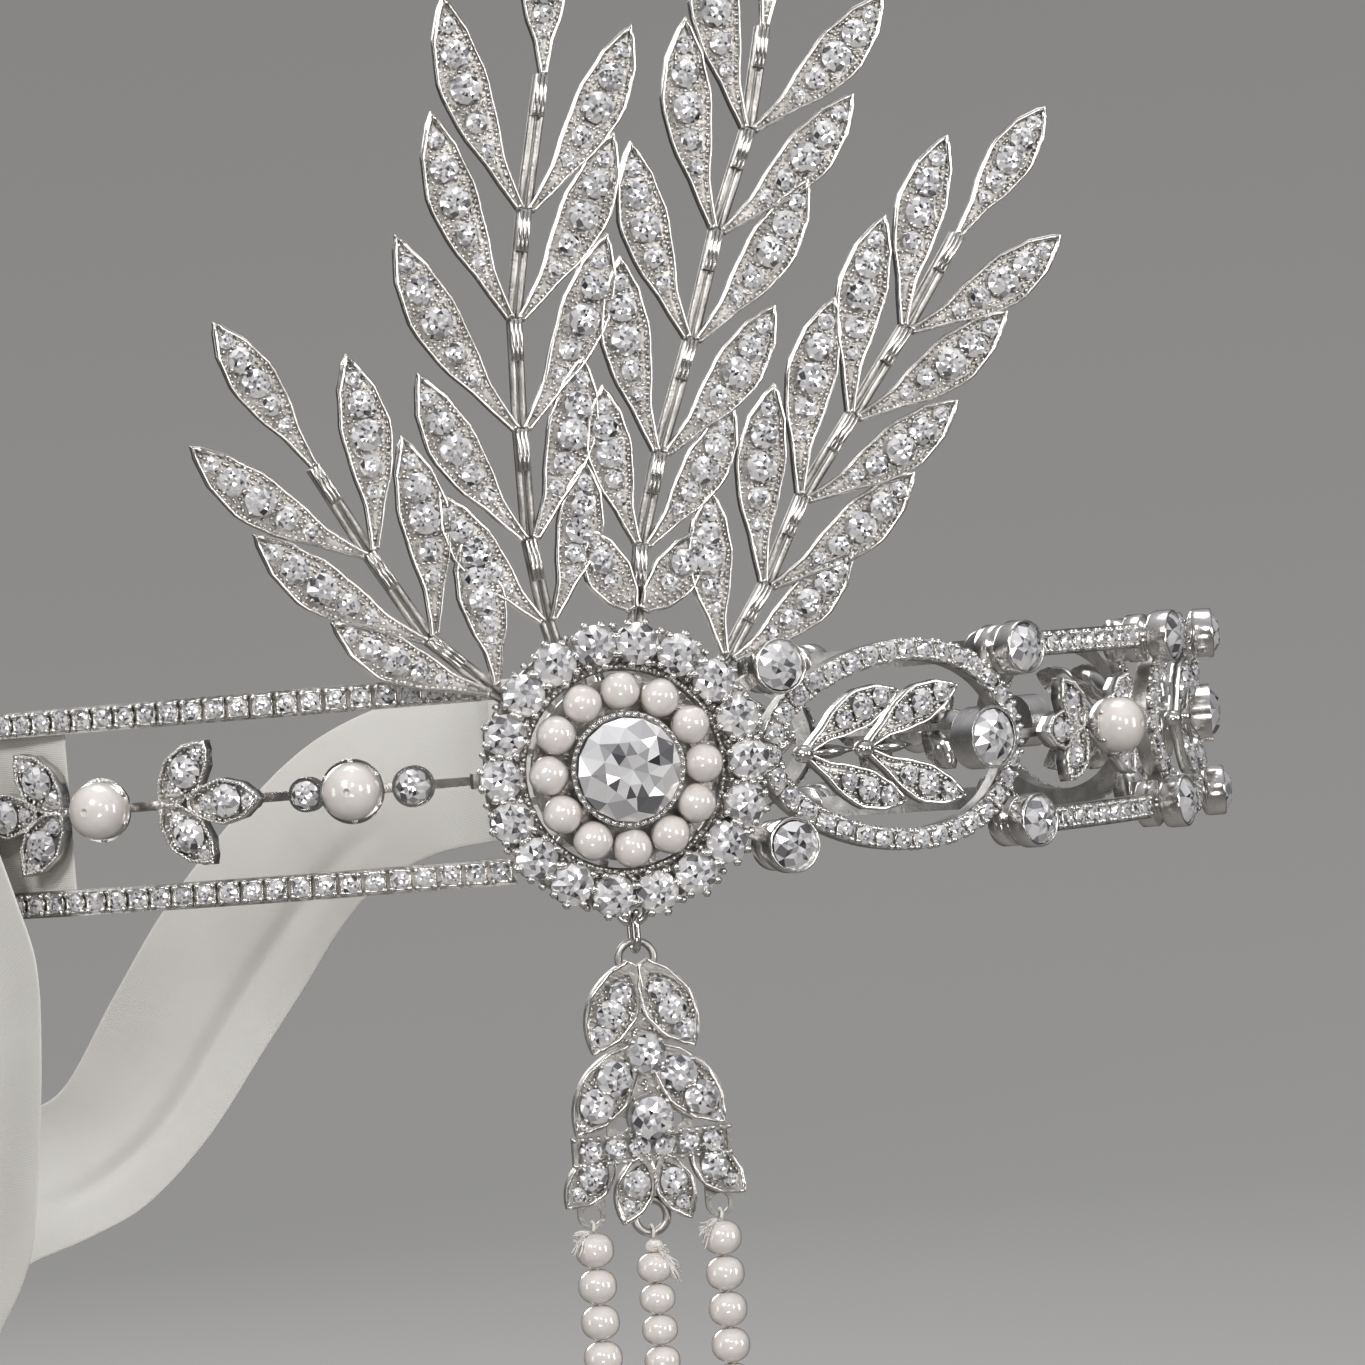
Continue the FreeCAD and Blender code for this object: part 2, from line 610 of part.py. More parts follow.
def tassel_web():
    """Thin sheet that joins the plate's leaves, pierced between them."""
    half = ((0.5, -1.0), (2.8, -7.0), (2.6, -11.0), (4.6, -15.0), (4.6, -20.0))
    points = [Vector(x, y, 0) for x, y in half]
    points += [Vector(-x, y, 0) for x, y in reversed(half)]
    web = Part.Face(Part.makePolygon(points + points[:1])).extrude(Vector(0, 0, 0.6))
    for x, y, radius in ((0, -6.2, 0.55), (2.9, -17.5, 0.75), (-2.9, -17.5, 0.75)):
        web = web.cut(Part.makeCylinder(radius, 3, Vector(x, y, -1)))
    return web


def tassel_plate():
    pieces, pockets = tassel_outline()
    plate = fused(pieces)
    for pocket in pockets:
        plate = plate.cut(pocket)
    extras = [tassel_web()]
    for y, size in TASSEL_CENTRE_STONES:
        extras.append(Part.makeCylinder(size / 2 + 0.35, 1.0, Vector(0, y, 0)))
    for side in (1, -1):
        extras.append(Part.makeCylinder(TASSEL_HOLE_DIA / 2 + TASSEL_TAB_RIM, TASSEL_TAB_RIM,
                                        Vector(side * TASSEL_HOLE_X, TASSEL_HOLE_Y, 0)))
        extras.append(Part.makeBox(3.0, 3.4, TASSEL_TAB_RIM,
                                   Vector(side * TASSEL_HOLE_X - 1.5, TASSEL_HOLE_Y, 0)))
    loop_x, loop_y, loop_r, loop_wire = TASSEL_LOOP
    extras.append(torus_upright(loop_r, loop_wire, loop_x, loop_y, TASSEL_TAB_RIM / 2))
    plate = fused([plate] + extras)
    for side in (1, -1):
        plate = plate.cut(Part.makeCylinder(TASSEL_HOLE_DIA / 2, 4,
                                            Vector(side * TASSEL_HOLE_X, TASSEL_HOLE_Y, -1)))
    opening = Part.makeCylinder(loop_r - loop_wire / 2, 4, Vector(loop_x, loop_y, -1))
    plate = plate.cut(opening)
    plate = moved(plate, 0, TASSEL_APEX, TASSEL_BACK)
    top_wire = LINK_TOP - (LINK_OUTER[1] - LINK_WIRE) + (LINK_WIRE + TASSEL_RING_WIRE) / 2 + 0.05
    ring_y = top_wire - TASSEL_RING_R
    ring = torus_upright(TASSEL_RING_R, TASSEL_RING_WIRE, 0, ring_y, TASSEL_BACK + 0.3)
    return fused([plate, ring])


def tassel_crystals():
    stones = []
    for (x, y), length, width, direction, pattern in TASSEL_LEAVES:
        for share, size in pattern:
            stone = moved(crystal(size), share * length)
            stones.append(placed(stone, x, y, direction))
            stones.append(placed(stone, -x, y, 180 - direction))
    bar_width, bar_height, middle = TASSEL_BAR
    count = 6
    pitch = (bar_width - 1.2) / count
    for i in range(count):
        stones.append(moved(crystal(2.1), (i - (count - 1) / 2) * pitch, middle))
    for y, size in TASSEL_CENTRE_STONES:
        stones.append(moved(crystal(size), 0, y, 1.0 + TASSEL_BACK - TASSEL_BASE))
    return [moved(stone, 0, TASSEL_APEX, TASSEL_BASE) for stone in stones]


def strand_places():
    """Name, x, eye height, depth of the eye's lower rim, loop radius and pattern of each strand."""
    side_y = TASSEL_APEX + TASSEL_HOLE_Y
    side_rim = (TASSEL_HOLE_DIA + TASSEL_TAB_RIM) / 2
    loop_x, loop_y, loop_r, _ = TASSEL_LOOP
    return (("left", -TASSEL_HOLE_X, side_y, side_rim, SIDE_LOOP_R, SIDE_STRAND),
            ("middle", loop_x, TASSEL_APEX + loop_y, loop_r, MIDDLE_LOOP_R, MIDDLE_STRAND),
            ("right", TASSEL_HOLE_X, side_y, side_rim, SIDE_LOOP_R, SIDE_STRAND))


STRAND_LIFT = TASSEL_BACK + TASSEL_TAB_RIM / 2


def strand_pearls(x, y, pattern):
    """Slightly flattened pearls with a drilled bore, spaced down the thread."""
    diameter, pitch, count, drop = pattern
    squash = (pitch - 0.06) / diameter
    ball = Part.makeSphere(diameter / 2)
    matrix = FreeCAD.Matrix()
    matrix.scale(1, squash, 1)
    bead = ball.transformGeometry(matrix)
    bore = Part.makeCylinder(THREAD_DIA / 2 + 0.05, 2 * diameter, Vector(0, -diameter, 0), Y_AXIS)
    bead = bead.cut(bore)
    radius, depth = PEARL_DIMPLE
    top = squash * diameter / 2
    dimpled = bead.cut(Part.makeCylinder(radius, depth, Vector(0, top - depth, 0), Y_AXIS))
    beads = [dimpled] + [bead] * (count - 1)
    return [moved(shape, x, y - drop - i * pitch, STRAND_LIFT) for i, shape in enumerate(beads)]


def strand_thread(x, y, rim, loop_r, pattern):
    """Thread through the pearls, from its loop round the eye's lower rim to its knot."""
    diameter, pitch, count, drop = pattern
    pivot = y - rim
    loop = Part.makeTorus(loop_r, LOOP_THREAD / 2, Vector(x, pivot, STRAND_LIFT), X_AXIS)
    top = pivot - loop_r
    last = y - drop - (count - 1) * pitch - pitch / 2
    end = last - STRAND_KNOT - 1.6
    line = Part.makeCylinder(THREAD_DIA / 2, top - end, Vector(x, end, STRAND_LIFT), Y_AXIS)
    knot_low = Part.makeSphere(STRAND_KNOT / 2, Vector(x, last - STRAND_KNOT / 2 - 0.1, STRAND_LIFT))
    return fused([loop, line, knot_low])


# ---------------------------------------------------------------- ribbons

def ribbon_bar(theta, inward):
    """Staple-shaped wire: an upright bar whose two arms are soldered to the band's end."""
    reach = 3.6 * inward
    points = [Vector(reach, BAR_HALF_HEIGHT, 0), Vector(0, BAR_HALF_HEIGHT, 0),
              Vector(0, -BAR_HALF_HEIGHT, 0), Vector(reach, -BAR_HALF_HEIGHT, 0)]
    return on_band(wire_path(points, BAR_DIA), theta)


def ribbon_sleeve():
    """Ribbon wrapped once round its bar, with a running gap."""
    inner = BAR_DIA / 2 + RIBBON_FOLD_GAP
    half = RIBBON_WIDTH / 2
    sleeve = Part.makeCylinder(inner + RIBBON_THICK, RIBBON_WIDTH, Vector(0, -half, 0), Y_AXIS)
    return sleeve.cut(Part.makeCylinder(inner, RIBBON_WIDTH + 2, Vector(0, -half - 1, 0), Y_AXIS))


def ribbon_tuck(start, end):
    """Folded-back end of the ribbon, lying inside the band."""
    outer = -(BAR_DIA / 2 + RIBBON_FOLD_GAP)
    inner = outer - RIBBON_THICK
    half = RIBBON_WIDTH / 2
    section = ((inner, -half), (outer, -half), (outer, half), (inner, half))
    return swept_section(section, start, end)


def ribbon_strip(stations):
    """Flat strip along (along, up, out) stations, its width square to the run seen from outside."""
    sections = []
    half = RIBBON_WIDTH / 2
    thick = RIBBON_THICK / 2
    for i, (along, up, out) in enumerate(stations):
        before = stations[max(i - 1, 0)]
        after = stations[min(i + 1, len(stations) - 1)]
        run = Vector(after[0] - before[0], after[1] - before[1], 0).normalize()
        side = Vector(-run.y, run.x, 0)
        centre = Vector(along, up, out)
        corners = [centre + side * (w * half) + Z_AXIS * (t * thick)
                   for w, t in ((1, 1), (1, -1), (-1, -1), (-1, 1))]
        sections.append(Part.makePolygon(corners + corners[:1]))
    return Part.makeLoft(sections, True, True)


# ---------------------------------------------------------------- nodes

def trefoil_places():
    """(angle, side, leaf, spread, neck) of every three-leaf casting, rear section first."""
    rear = [(-arc_angle(arc), side, REAR_TREFOIL_LEAF, REAR_TREFOIL_SPREAD, REAR_TREFOIL_NECK)
            for arc, side in REAR_TREFOILS]
    panels = []
    for centre in pearl_panel_centres():
        for side in (-1, 1):
            panels.append((centre + side * arc_angle(TREFOIL_JOINT), side, TREFOIL_LEAF,
                           TREFOIL_SPREAD, TREFOIL_NECK))
    return rear, panels


def oval_panel_centres():
    return [(JUNCTIONS[2 * i] + JUNCTIONS[2 * i + 1]) / 2 for i in range(OVAL_PANELS)]


def pearl_panel_centres():
    return [(JUNCTIONS[2 * i + 1] + JUNCTIONS[2 * i + 2]) / 2 for i in range(PEARL_PANELS)]


def add_medallion(nodes):
    nodes["medallion_plate"] = [on_band(medallion_plate(), 0)]
    cup = halo_cup()
    stone = halo_crystal()
    nodes["halo_settings"] = [on_band(turned(cup, a), 0) for a in halo_positions()]
    nodes["halo_crystals"] = [on_band(turned(stone, a), 0) for a in halo_positions()]
    nodes["medallion_pearls"] = [on_band(pearl, 0) for pearl in ring_pearls()]
    nodes["centre_bezel"] = [on_band(centre_bezel(), 0)]
    nodes["centre_crystal"] = [on_band(centre_crystal(), 0)]
    eyelet = torus_upright(EYELET_R, EYELET_WIRE, 0, EYELET_Z, EYELET_LIFT)
    nodes["tassel_eyelet"] = [on_band(eyelet, 0)]


def add_sprays(nodes):
    stones = []
    for number, spray in enumerate(SPRAYS, start=1):
        nodes[f"spray_{number}_stem"] = [on_band(shape, 0) for shape in spray_stem(spray)]
        nodes[f"spray_{number}_leaves"] = [on_band(shape, 0) for shape in spray_leaves(spray)]
        stones += [on_band(shape, 0) for shape in spray_crystals(spray)]
    nodes["spray_crystals"] = stones


def add_rear_section(nodes):
    nodes["rear_rails"] = [rail(REAR_END, REAR_START, side) for side in (1, -1)]
    nodes["rear_bar"] = [middle_bar(REAR_END + 1.5, REAR_START)]
    collets = []
    stones = []
    for arc, size in REAR_COLLETS:
        collets.append(on_band(collet(size, 0.0, 2.0, size - 0.7), -arc_angle(arc)))
        stones.append(on_band(collet_crystal(2.0, size - 0.7), -arc_angle(arc)))
    nodes["rear_collets"] = collets
    nodes["rear_collet_crystals"] = stones


def add_trefoils(nodes):
    rear, panels = trefoil_places()
    stones = []
    for name, places in (("rear_trefoils", rear), ("panel_trefoils", panels)):
        castings = []
        for theta, side, leaf, spread, neck in places:
            castings.append(on_band(moved(trefoil(leaf, spread, neck, side), z=TREFOIL_LIFT), theta))
            stones += [on_band(moved(stone, z=TREFOIL_LIFT), theta)
                       for stone in trefoil_stones(leaf, spread, neck, side)]
        nodes[name] = castings
    nodes["trefoil_crystals"] = stones


def add_band_pearls(nodes):
    bore = Part.makeCylinder(0.5, 2.4, Vector(0, 0, 0))
    pearl = Part.makeSphere(PEARL_DIA / 2, Vector(0, 0, PEARL_LIFT)).cut(bore)
    peg = Part.makeCylinder(0.45, PEARL_LIFT - PEARL_DIA / 2 + 1.2, Vector(0, 0, 0))
    foot = Part.makeCylinder(1.5, 0.7, Vector(0, 0, 0))
    cup = fused([pearl_cup(), foot.cut(Part.makeSphere(PEARL_DIA / 2, Vector(0, 0, PEARL_LIFT))), peg])
    angles = [-arc_angle(arc) for arc in REAR_PEARLS] + pearl_panel_centres()
    nodes["band_pearls"] = [on_band(pearl, theta) for theta in angles]
    nodes["pearl_cups"] = [on_band(cup, theta) for theta in angles]


def add_panels(nodes):
    frame = oval_frame()
    frame_stones = oval_frame_crystals()
    sprig = on_band(oval_sprig(), 0)
    sprig_stones = [on_band(stone, 0) for stone in oval_sprig_crystals()]
    cup = collet(OVAL_COLLET_DIA, 0.0, 3.4, OVAL_COLLET_STONE)
    cup_stone = collet_crystal(3.4, OVAL_COLLET_STONE)
    all_frame_stones = []
    all_sprig_stones = []
    collets = []
    collet_stones = []
    for number, centre in enumerate(oval_panel_centres(), start=1):
        nodes[f"oval_frame_{number}"] = [turned(frame, centre)]
        nodes[f"oval_sprig_{number}"] = [turned(sprig, centre)]
        all_frame_stones += [turned(stone, centre) for stone in frame_stones]
        all_sprig_stones += [turned(stone, centre) for stone in sprig_stones]
        theta = centre + arc_angle(OVAL_COLLET_X)
        collets.append(on_band(cup, theta))
        collet_stones.append(on_band(cup_stone, theta))
    nodes["oval_frame_crystals"] = all_frame_stones
    nodes["oval_sprig_crystals"] = all_sprig_stones
    nodes["oval_collets"] = collets
    nodes["oval_collet_crystals"] = collet_stones
    rail_stones = []
    for number, centre in enumerate(pearl_panel_centres(), start=1):
        start = centre - PANEL_SPAN / 2 + PANEL_RAIL_INSET
        end = centre + PANEL_SPAN / 2 - PANEL_RAIL_INSET
        nodes[f"pearl_panel_rails_{number}"] = [rail(start, end, 1), rail(start, end, -1),
                                                middle_bar(start - 0.9, end + 0.2)]
        rail_stones += rail_crystals(start, end, 1) + rail_crystals(start, end, -1)
    for side in (1, -1):
        rail_stones += rail_crystals(REAR_END, REAR_START, side)
    nodes["rail_crystals"] = rail_stones


def add_corners(nodes):
    cup = collet(CORNER_DIA, CORNER_BACK, CORNER_TOP, CORNER_STONE)
    stone = collet_crystal(CORNER_TOP, CORNER_STONE)
    collets = []
    stones = []
    for theta in JUNCTIONS:
        for side in (1, -1):
            collets.append(on_band(moved(cup, y=side * CORNER_Z), theta))
            stones.append(on_band(moved(stone, y=side * CORNER_Z), theta))
    nodes["corner_collets"] = collets
    nodes["corner_crystals"] = stones


def add_tassel(nodes):
    nodes["tassel_link"] = [on_band(tassel_link(), 0)]
    nodes["tassel_plate"] = [on_band(tassel_plate(), 0)]
    nodes["tassel_crystals"] = [on_band(stone, 0) for stone in tassel_crystals()]
    for name, x, y, rim, loop_r, pattern in strand_places():
        nodes[f"strand_{name}_pearls"] = [on_band(p, 0) for p in strand_pearls(x, y, pattern)]
        nodes[f"strand_{name}_thread"] = [on_band(strand_thread(x, y, rim, loop_r, pattern), 0)]


def add_ribbons(nodes):
    nodes["ribbon_bars"] = [ribbon_bar(NEAR_BAR, 1), ribbon_bar(FAR_BAR, -1)]
    sleeve = ribbon_sleeve()
    tuck = ribbon_tuck(NEAR_BAR, NEAR_BAR + arc_angle(RIBBON_TUCK))
    near_fold = on_band(sleeve, NEAR_BAR).fuse(tuck)
    keep_bore = on_band(Part.makeCylinder(BAR_DIA / 2 + RIBBON_FOLD_GAP, 2 * RIBBON_WIDTH,
                                          Vector(0, -RIBBON_WIDTH, 0), Y_AXIS), NEAR_BAR)
    nodes["ribbon_near_fold"] = [near_fold.cut(keep_bore)]
    nodes["ribbon_near"] = [on_band(ribbon_strip(NEAR_TAIL), NEAR_BAR)]
    far = on_band(fused([sleeve, ribbon_strip(FAR_TAIL)]), FAR_BAR)
    nodes["ribbon_far"] = [far]


def main():
    nodes = {}
    add_medallion(nodes)
    add_sprays(nodes)
    add_rear_section(nodes)
    add_trefoils(nodes)
    add_band_pearls(nodes)
    add_panels(nodes)
    add_corners(nodes)
    add_tassel(nodes)
    add_ribbons(nodes)
    os.makedirs("parts", exist_ok=True)
    for name, shapes in nodes.items():
        shape = shapes[0] if len(shapes) == 1 else Part.makeCompound(shapes)
        shape.exportStep(f"parts/{name}.step")
        print(name, len(shape.Solids), "solids", round(shape.Volume, 1), "mm3", shape.isValid())
    print(len(nodes), "nodes")


main()
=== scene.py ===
import math
import random

import bpy
import numpy as np
from mathutils import Matrix, Vector


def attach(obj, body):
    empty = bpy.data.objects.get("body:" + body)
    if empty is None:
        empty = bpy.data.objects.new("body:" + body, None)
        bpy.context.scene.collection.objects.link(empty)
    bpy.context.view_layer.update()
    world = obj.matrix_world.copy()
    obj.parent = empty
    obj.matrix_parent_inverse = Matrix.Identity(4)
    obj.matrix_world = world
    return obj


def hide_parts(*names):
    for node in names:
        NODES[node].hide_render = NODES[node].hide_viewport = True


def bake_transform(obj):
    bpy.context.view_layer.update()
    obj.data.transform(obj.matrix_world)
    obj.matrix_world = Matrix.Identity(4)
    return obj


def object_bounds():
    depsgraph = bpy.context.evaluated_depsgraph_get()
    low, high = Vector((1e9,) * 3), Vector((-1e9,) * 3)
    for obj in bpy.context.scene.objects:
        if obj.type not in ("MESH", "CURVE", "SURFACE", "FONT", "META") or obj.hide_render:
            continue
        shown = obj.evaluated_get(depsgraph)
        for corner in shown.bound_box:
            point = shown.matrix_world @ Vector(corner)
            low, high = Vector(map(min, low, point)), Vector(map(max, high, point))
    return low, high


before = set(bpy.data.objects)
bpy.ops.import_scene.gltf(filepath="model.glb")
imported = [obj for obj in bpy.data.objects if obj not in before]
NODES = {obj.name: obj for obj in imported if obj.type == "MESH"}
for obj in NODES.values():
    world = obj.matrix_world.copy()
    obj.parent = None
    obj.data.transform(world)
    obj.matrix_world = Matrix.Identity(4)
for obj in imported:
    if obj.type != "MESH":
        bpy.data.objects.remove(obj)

# Looks of a bridal headpiece: crystal and pearl bandeau, medallion, leaf sprays, tassel and ribbons.
# Lengths are in metres. A length in millimetres is written as a number times MM.
# "Band frame" at an angle: x along the band, y up, z outwards, origin on the band's middle surface.

MM = 0.001
CAD_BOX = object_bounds()
scene = bpy.context.scene
rng = random.Random(7)

BAND_R = 85.0 * MM
UP = Vector((0, 0, 1))


def axes_matrix(x, y, z, origin):
    """Matrix whose axes are x, y and z, at an origin."""
    return Matrix((
        (x[0], y[0], z[0], origin[0]),
        (x[1], y[1], z[1], origin[1]),
        (x[2], y[2], z[2], origin[2]),
        (0, 0, 0, 1)))


def band_frame(theta, along=0.0, up=0.0, out=0.0):
    """Matrix of the band frame at an angle in degrees, moved along its own axes."""
    angle = math.radians(theta)
    tangent = Vector((math.cos(angle), math.sin(angle), 0))
    outward = Vector((math.sin(angle), -math.cos(angle), 0))
    origin = outward * (BAND_R + out) + tangent * along + UP * up
    return axes_matrix(tangent, UP, outward, origin)


def spun(angle, x=0.0, y=0.0, z=0.0):
    """Matrix that turns by degrees about z, then moves."""
    return Matrix.Translation((x, y, z)) @ Matrix.Rotation(math.radians(angle), 4, "Z")


def new_object(name, data):
    made = bpy.data.objects.new(name, data)
    scene.collection.objects.link(made)
    return made


def round_axis(radius, angle, height=0.0):
    """Matrix of a move to a point given by its radius and angle (radians) about z."""
    return Matrix.Translation((radius * math.cos(angle), radius * math.sin(angle), height))


# ---- camera

VIEW_AZIMUTH = 12.0         # degrees left of the medallion's axis
VIEW_ROLL = 4.6             # degrees
VIEW_DISTANCE = 635 * MM    # from the upright through the aim point
VIEW_AIM = (25.1 * MM, 8.6 * MM)
VIEW_LENS = 137.8


def make_camera():
    azimuth = math.radians(VIEW_AZIMUTH)
    roll = math.radians(VIEW_ROLL)
    right = Vector((math.cos(azimuth), -math.sin(azimuth), 0))
    back = Vector((-math.sin(azimuth), -math.cos(azimuth), 0))
    x_axis = right * math.cos(roll) - UP * math.sin(roll)
    y_axis = right * math.sin(roll) + UP * math.cos(roll)
    aim = right * VIEW_AIM[0] + UP * VIEW_AIM[1]
    place = aim + back * VIEW_DISTANCE
    data = bpy.data.cameras.new("camera")
    data.lens = VIEW_LENS
    data.sensor_width = 36
    data.clip_start = 0.01
    data.clip_end = 50
    camera = new_object("camera", data)
    camera.matrix_world = axes_matrix(x_axis, y_axis, back, place)
    scene.camera = camera


make_camera()


# ---- materials

def shader(name):
    material = bpy.data.materials.new(name)
    material.use_nodes = True
    tree = material.node_tree
    return material, tree, tree.nodes["Principled BSDF"]


def wire(tree, node, inputs):
    """Sets a node's inputs by name: a socket is linked, anything else is its value."""
    for name, value in inputs.items():
        if isinstance(value, bpy.types.NodeSocket):
            tree.links.new(value, node.inputs[name])
        else:
            node.inputs[name].default_value = value
    return node


def add_node(tree, kind, inputs=None, **settings):
    node = tree.nodes.new(kind)
    for key, value in settings.items():
        setattr(node, key, value)
    return wire(tree, node, inputs or {})


def ramp(tree, source, stops):
    """Colour ramp after a value; stops are (position, colour)."""
    node = add_node(tree, "ShaderNodeValToRGB")
    elements = node.color_ramp.elements
    while len(elements) < len(stops):
        elements.new(0.5)
    for element, (position, colour) in zip(elements, stops):
        element.position = position
        element.color = (*colour, 1)
    tree.links.new(source, node.inputs[0])
    return node.outputs[0]


def noise(tree, scale, detail=2.0):
    coordinates = add_node(tree, "ShaderNodeTexCoord")
    return add_node(tree, "ShaderNodeTexNoise", {
        "Scale": scale, "Detail": detail, "Vector": coordinates.outputs["Object"]}).outputs[0]


def spread(tree, source, low, high):
    return add_node(tree, "ShaderNodeMapRange", {"To Min": low, "To Max": high, "Value": source}).outputs[0]


def bump(tree, height, distance, normal=None):
    node = add_node(tree, "ShaderNodeBump", {"Distance": distance, "Strength": 1.0, "Height": height})
    if normal is not None:
        tree.links.new(normal, node.inputs["Normal"])
    return node.outputs[0]


def multiply(tree, colour, factor_colour, share):
    """Colour multiplied by another, by a share."""
    mix = add_node(tree, "ShaderNodeMix", data_type="RGBA", blend_type="MULTIPLY")
    mix.inputs["Factor"].default_value = share
    tree.links.new(colour, mix.inputs["A"])
    tree.links.new(factor_colour, mix.inputs["B"])
    return mix.outputs["Result"]


def metal_material(name, colour, shade, roughness, grain, edge):
    """Plated metal: cloudy tone, uneven polish, fine cast grain and softened edges."""
    material, tree, base = shader(name)
    tone = ramp(tree, noise(tree, 420, 3), ((0.30, shade), (0.68, colour)))
    polish = spread(tree, noise(tree, 1500), *roughness)
    edges = add_node(tree, "ShaderNodeBevel", {"Radius": edge}, samples=3)
    surface = bump(tree, noise(tree, 3200), grain, edges.outputs[0])
    wire(tree, base, {"Base Color": tone, "Metallic": 1.0, "Roughness": polish, "Normal": surface})
    return material


def crystal_material():
    """Foil-backed cut crystal with painted reflections: each facet's colour is a tone from near black to
    white that stands in for the dark and the light it reflects, under a clear polished coat.
    """
    material, tree, base = shader("cut_crystal_painted_reflections")
    facet = add_node(tree, "ShaderNodeAttribute", attribute_name="facet_reflection")
    # Painted reflections: per-facet tones from near black to white stand in for the dark and the light that
    # the cut facets reflect.
    tone = ramp(tree, facet.outputs["Fac"], (
        (0.00, (0.05, 0.05, 0.06)),
        (0.22, (0.22, 0.22, 0.24)),
        (0.45, (0.62, 0.62, 0.645)),
        (0.62, (0.90, 0.90, 0.92)),
        (1.00, (1.0, 1.0, 1.0))))
    wire(tree, base, {"Base Color": tone, "Metallic": 0.40, "Roughness": 0.12,
                      "Coat Weight": 1.0, "Coat Roughness": 0.02, "Coat IOR": 1.6})
    return material


def pearl_material():
    """Pearl: warm white lacquer with painted shade, going beige and then dark grey-brown towards its edges as
    seen from the camera; faintly mottled, with a glossy coat.
    """
    material, tree, base = shader("pearl_lacquer_painted_shade")
    edge_shade = add_node(tree, "ShaderNodeLayerWeight", {"Blend": 0.38})
    # Painted shade: the colour darkens from the centre to the edges as seen from the camera.
    body = ramp(tree, edge_shade.outputs["Facing"], (
        (0.0, (0.80, 0.775, 0.745)),
        (0.45, (0.74, 0.70, 0.665)),
        (1.0, (0.36, 0.31, 0.285))))
    mottle = ramp(tree, noise(tree, 700, 3), ((0.3, (0.93, 0.92, 0.91)), (0.7, (1, 1, 1))))
    wire(tree, base, {
        "Base Color": multiply(tree, body, mottle, 1.0), "Roughness": 0.28,
        "Subsurface Weight": 0.12, "Subsurface Scale": 0.6 * MM,
        "Coat Weight": 1.0, "Coat Roughness": 0.025, "Coat IOR": 1.7,
        "Normal": bump(tree, noise(tree, 2200), 0.006 * MM)})
    return material


def satin_material():
    """Double-faced satin: long warp floats and a fine cross rib."""
    material, tree, base = shader("ivory_satin")
    place = add_node(tree, "ShaderNodeUVMap", uv_map="weave")
    warp = add_node(tree, "ShaderNodeTexWave", {
        "Scale": 34.0, "Distortion": 1.2, "Detail": 2.0, "Vector": place.outputs[0]}, bands_direction="X")
    weft = add_node(tree, "ShaderNodeTexWave", {
        "Scale": 26.0, "Distortion": 0.8, "Vector": place.outputs[0]}, bands_direction="Y")
    cloud = ramp(tree, noise(tree, 60, 3), (
        (0.3, (0.70, 0.685, 0.65)),
        (0.7, (0.77, 0.76, 0.73))))
    ribs = bump(tree, warp.outputs["Fac"], 0.02 * MM)
    wire(tree, base, {
        "Base Color": multiply(tree, cloud, warp.outputs["Color"], 0.12),
        "Roughness": spread(tree, noise(tree, 240), 0.30, 0.40),
        "Sheen Weight": 0.35, "Sheen Roughness": 0.35, "Specular IOR Level": 0.6,
        "Normal": bump(tree, weft.outputs["Fac"], 0.012 * MM, ribs)})
    return material


def thread_material():
    """Soft spun cotton thread."""
    material, tree, base = shader("cotton_thread")
    tone = ramp(tree, noise(tree, 1800, 3), (
        (0.3, (0.66, 0.63, 0.58)),
        (0.7, (0.90, 0.88, 0.84))))
    wire(tree, base, {"Base Color": tone, "Roughness": 0.85, "Sheen Weight": 0.6, "Sheen Roughness": 0.5,
                      "Normal": bump(tree, noise(tree, 5200), 0.06 * MM)})
    return material


SILVER = metal_material("rhodium_polished", (0.82, 0.805, 0.785), (0.62, 0.605, 0.585),
                        (0.13, 0.26), 0.006 * MM, 0.10 * MM)
CASTING = metal_material("rhodium_casting", (0.58, 0.565, 0.545), (0.32, 0.31, 0.295),
                         (0.24, 0.44), 0.06 * MM, 0.06 * MM)
CRYSTAL = crystal_material()
PEARL = pearl_material()
SATIN = satin_material()
THREAD = thread_material()


# ---- mesh tools

class Collector:
    """Gathers copies of small templates, each (points, faces), into one mesh."""

    def __init__(self):
        self.points = []
        self.faces = []
        self.slots = []
        self.reflection_tones = []
        self.count = 0

    def add(self, template, matrix, slot=0, reflection_tones=None):
        points, faces = template
        turn = np.array(matrix.to_3x3())
        shift = np.array(matrix.translation)
        self.points.append(points @ turn.T + shift)
        self.faces += [tuple(i + self.count for i in face) for face in faces]
        self.slots += [slot] * len(faces)
        self.reflection_tones += reflection_tones if reflection_tones else [0.5] * len(faces)
        self.count += len(points)

    def piece(self, name, materials, body, replaced=(), slot=None, smooth=True, reflection_tones=False):
        mesh = bpy.data.meshes.new(name)
        mesh.from_pydata(np.concatenate(self.points).tolist(), [], self.faces)
        for material in materials:
            mesh.materials.append(material)
        mesh.polygons.foreach_set("material_index", self.slots)
        mesh.polygons.foreach_set("use_smooth", [smooth] * len(self.faces))
        # Per-face painted reflection tones, which the crystal material turns into dark and bright facets.
        if reflection_tones:
            attribute = mesh.attributes.new("facet_reflection", "FLOAT", "FACE")
            attribute.data.foreach_set("value", self.reflection_tones)
        mesh.update()
        piece = new_object(name, mesh)
        if body is not None:
            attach(piece, body)
        if replaced:
            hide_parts(*replaced)
        return piece


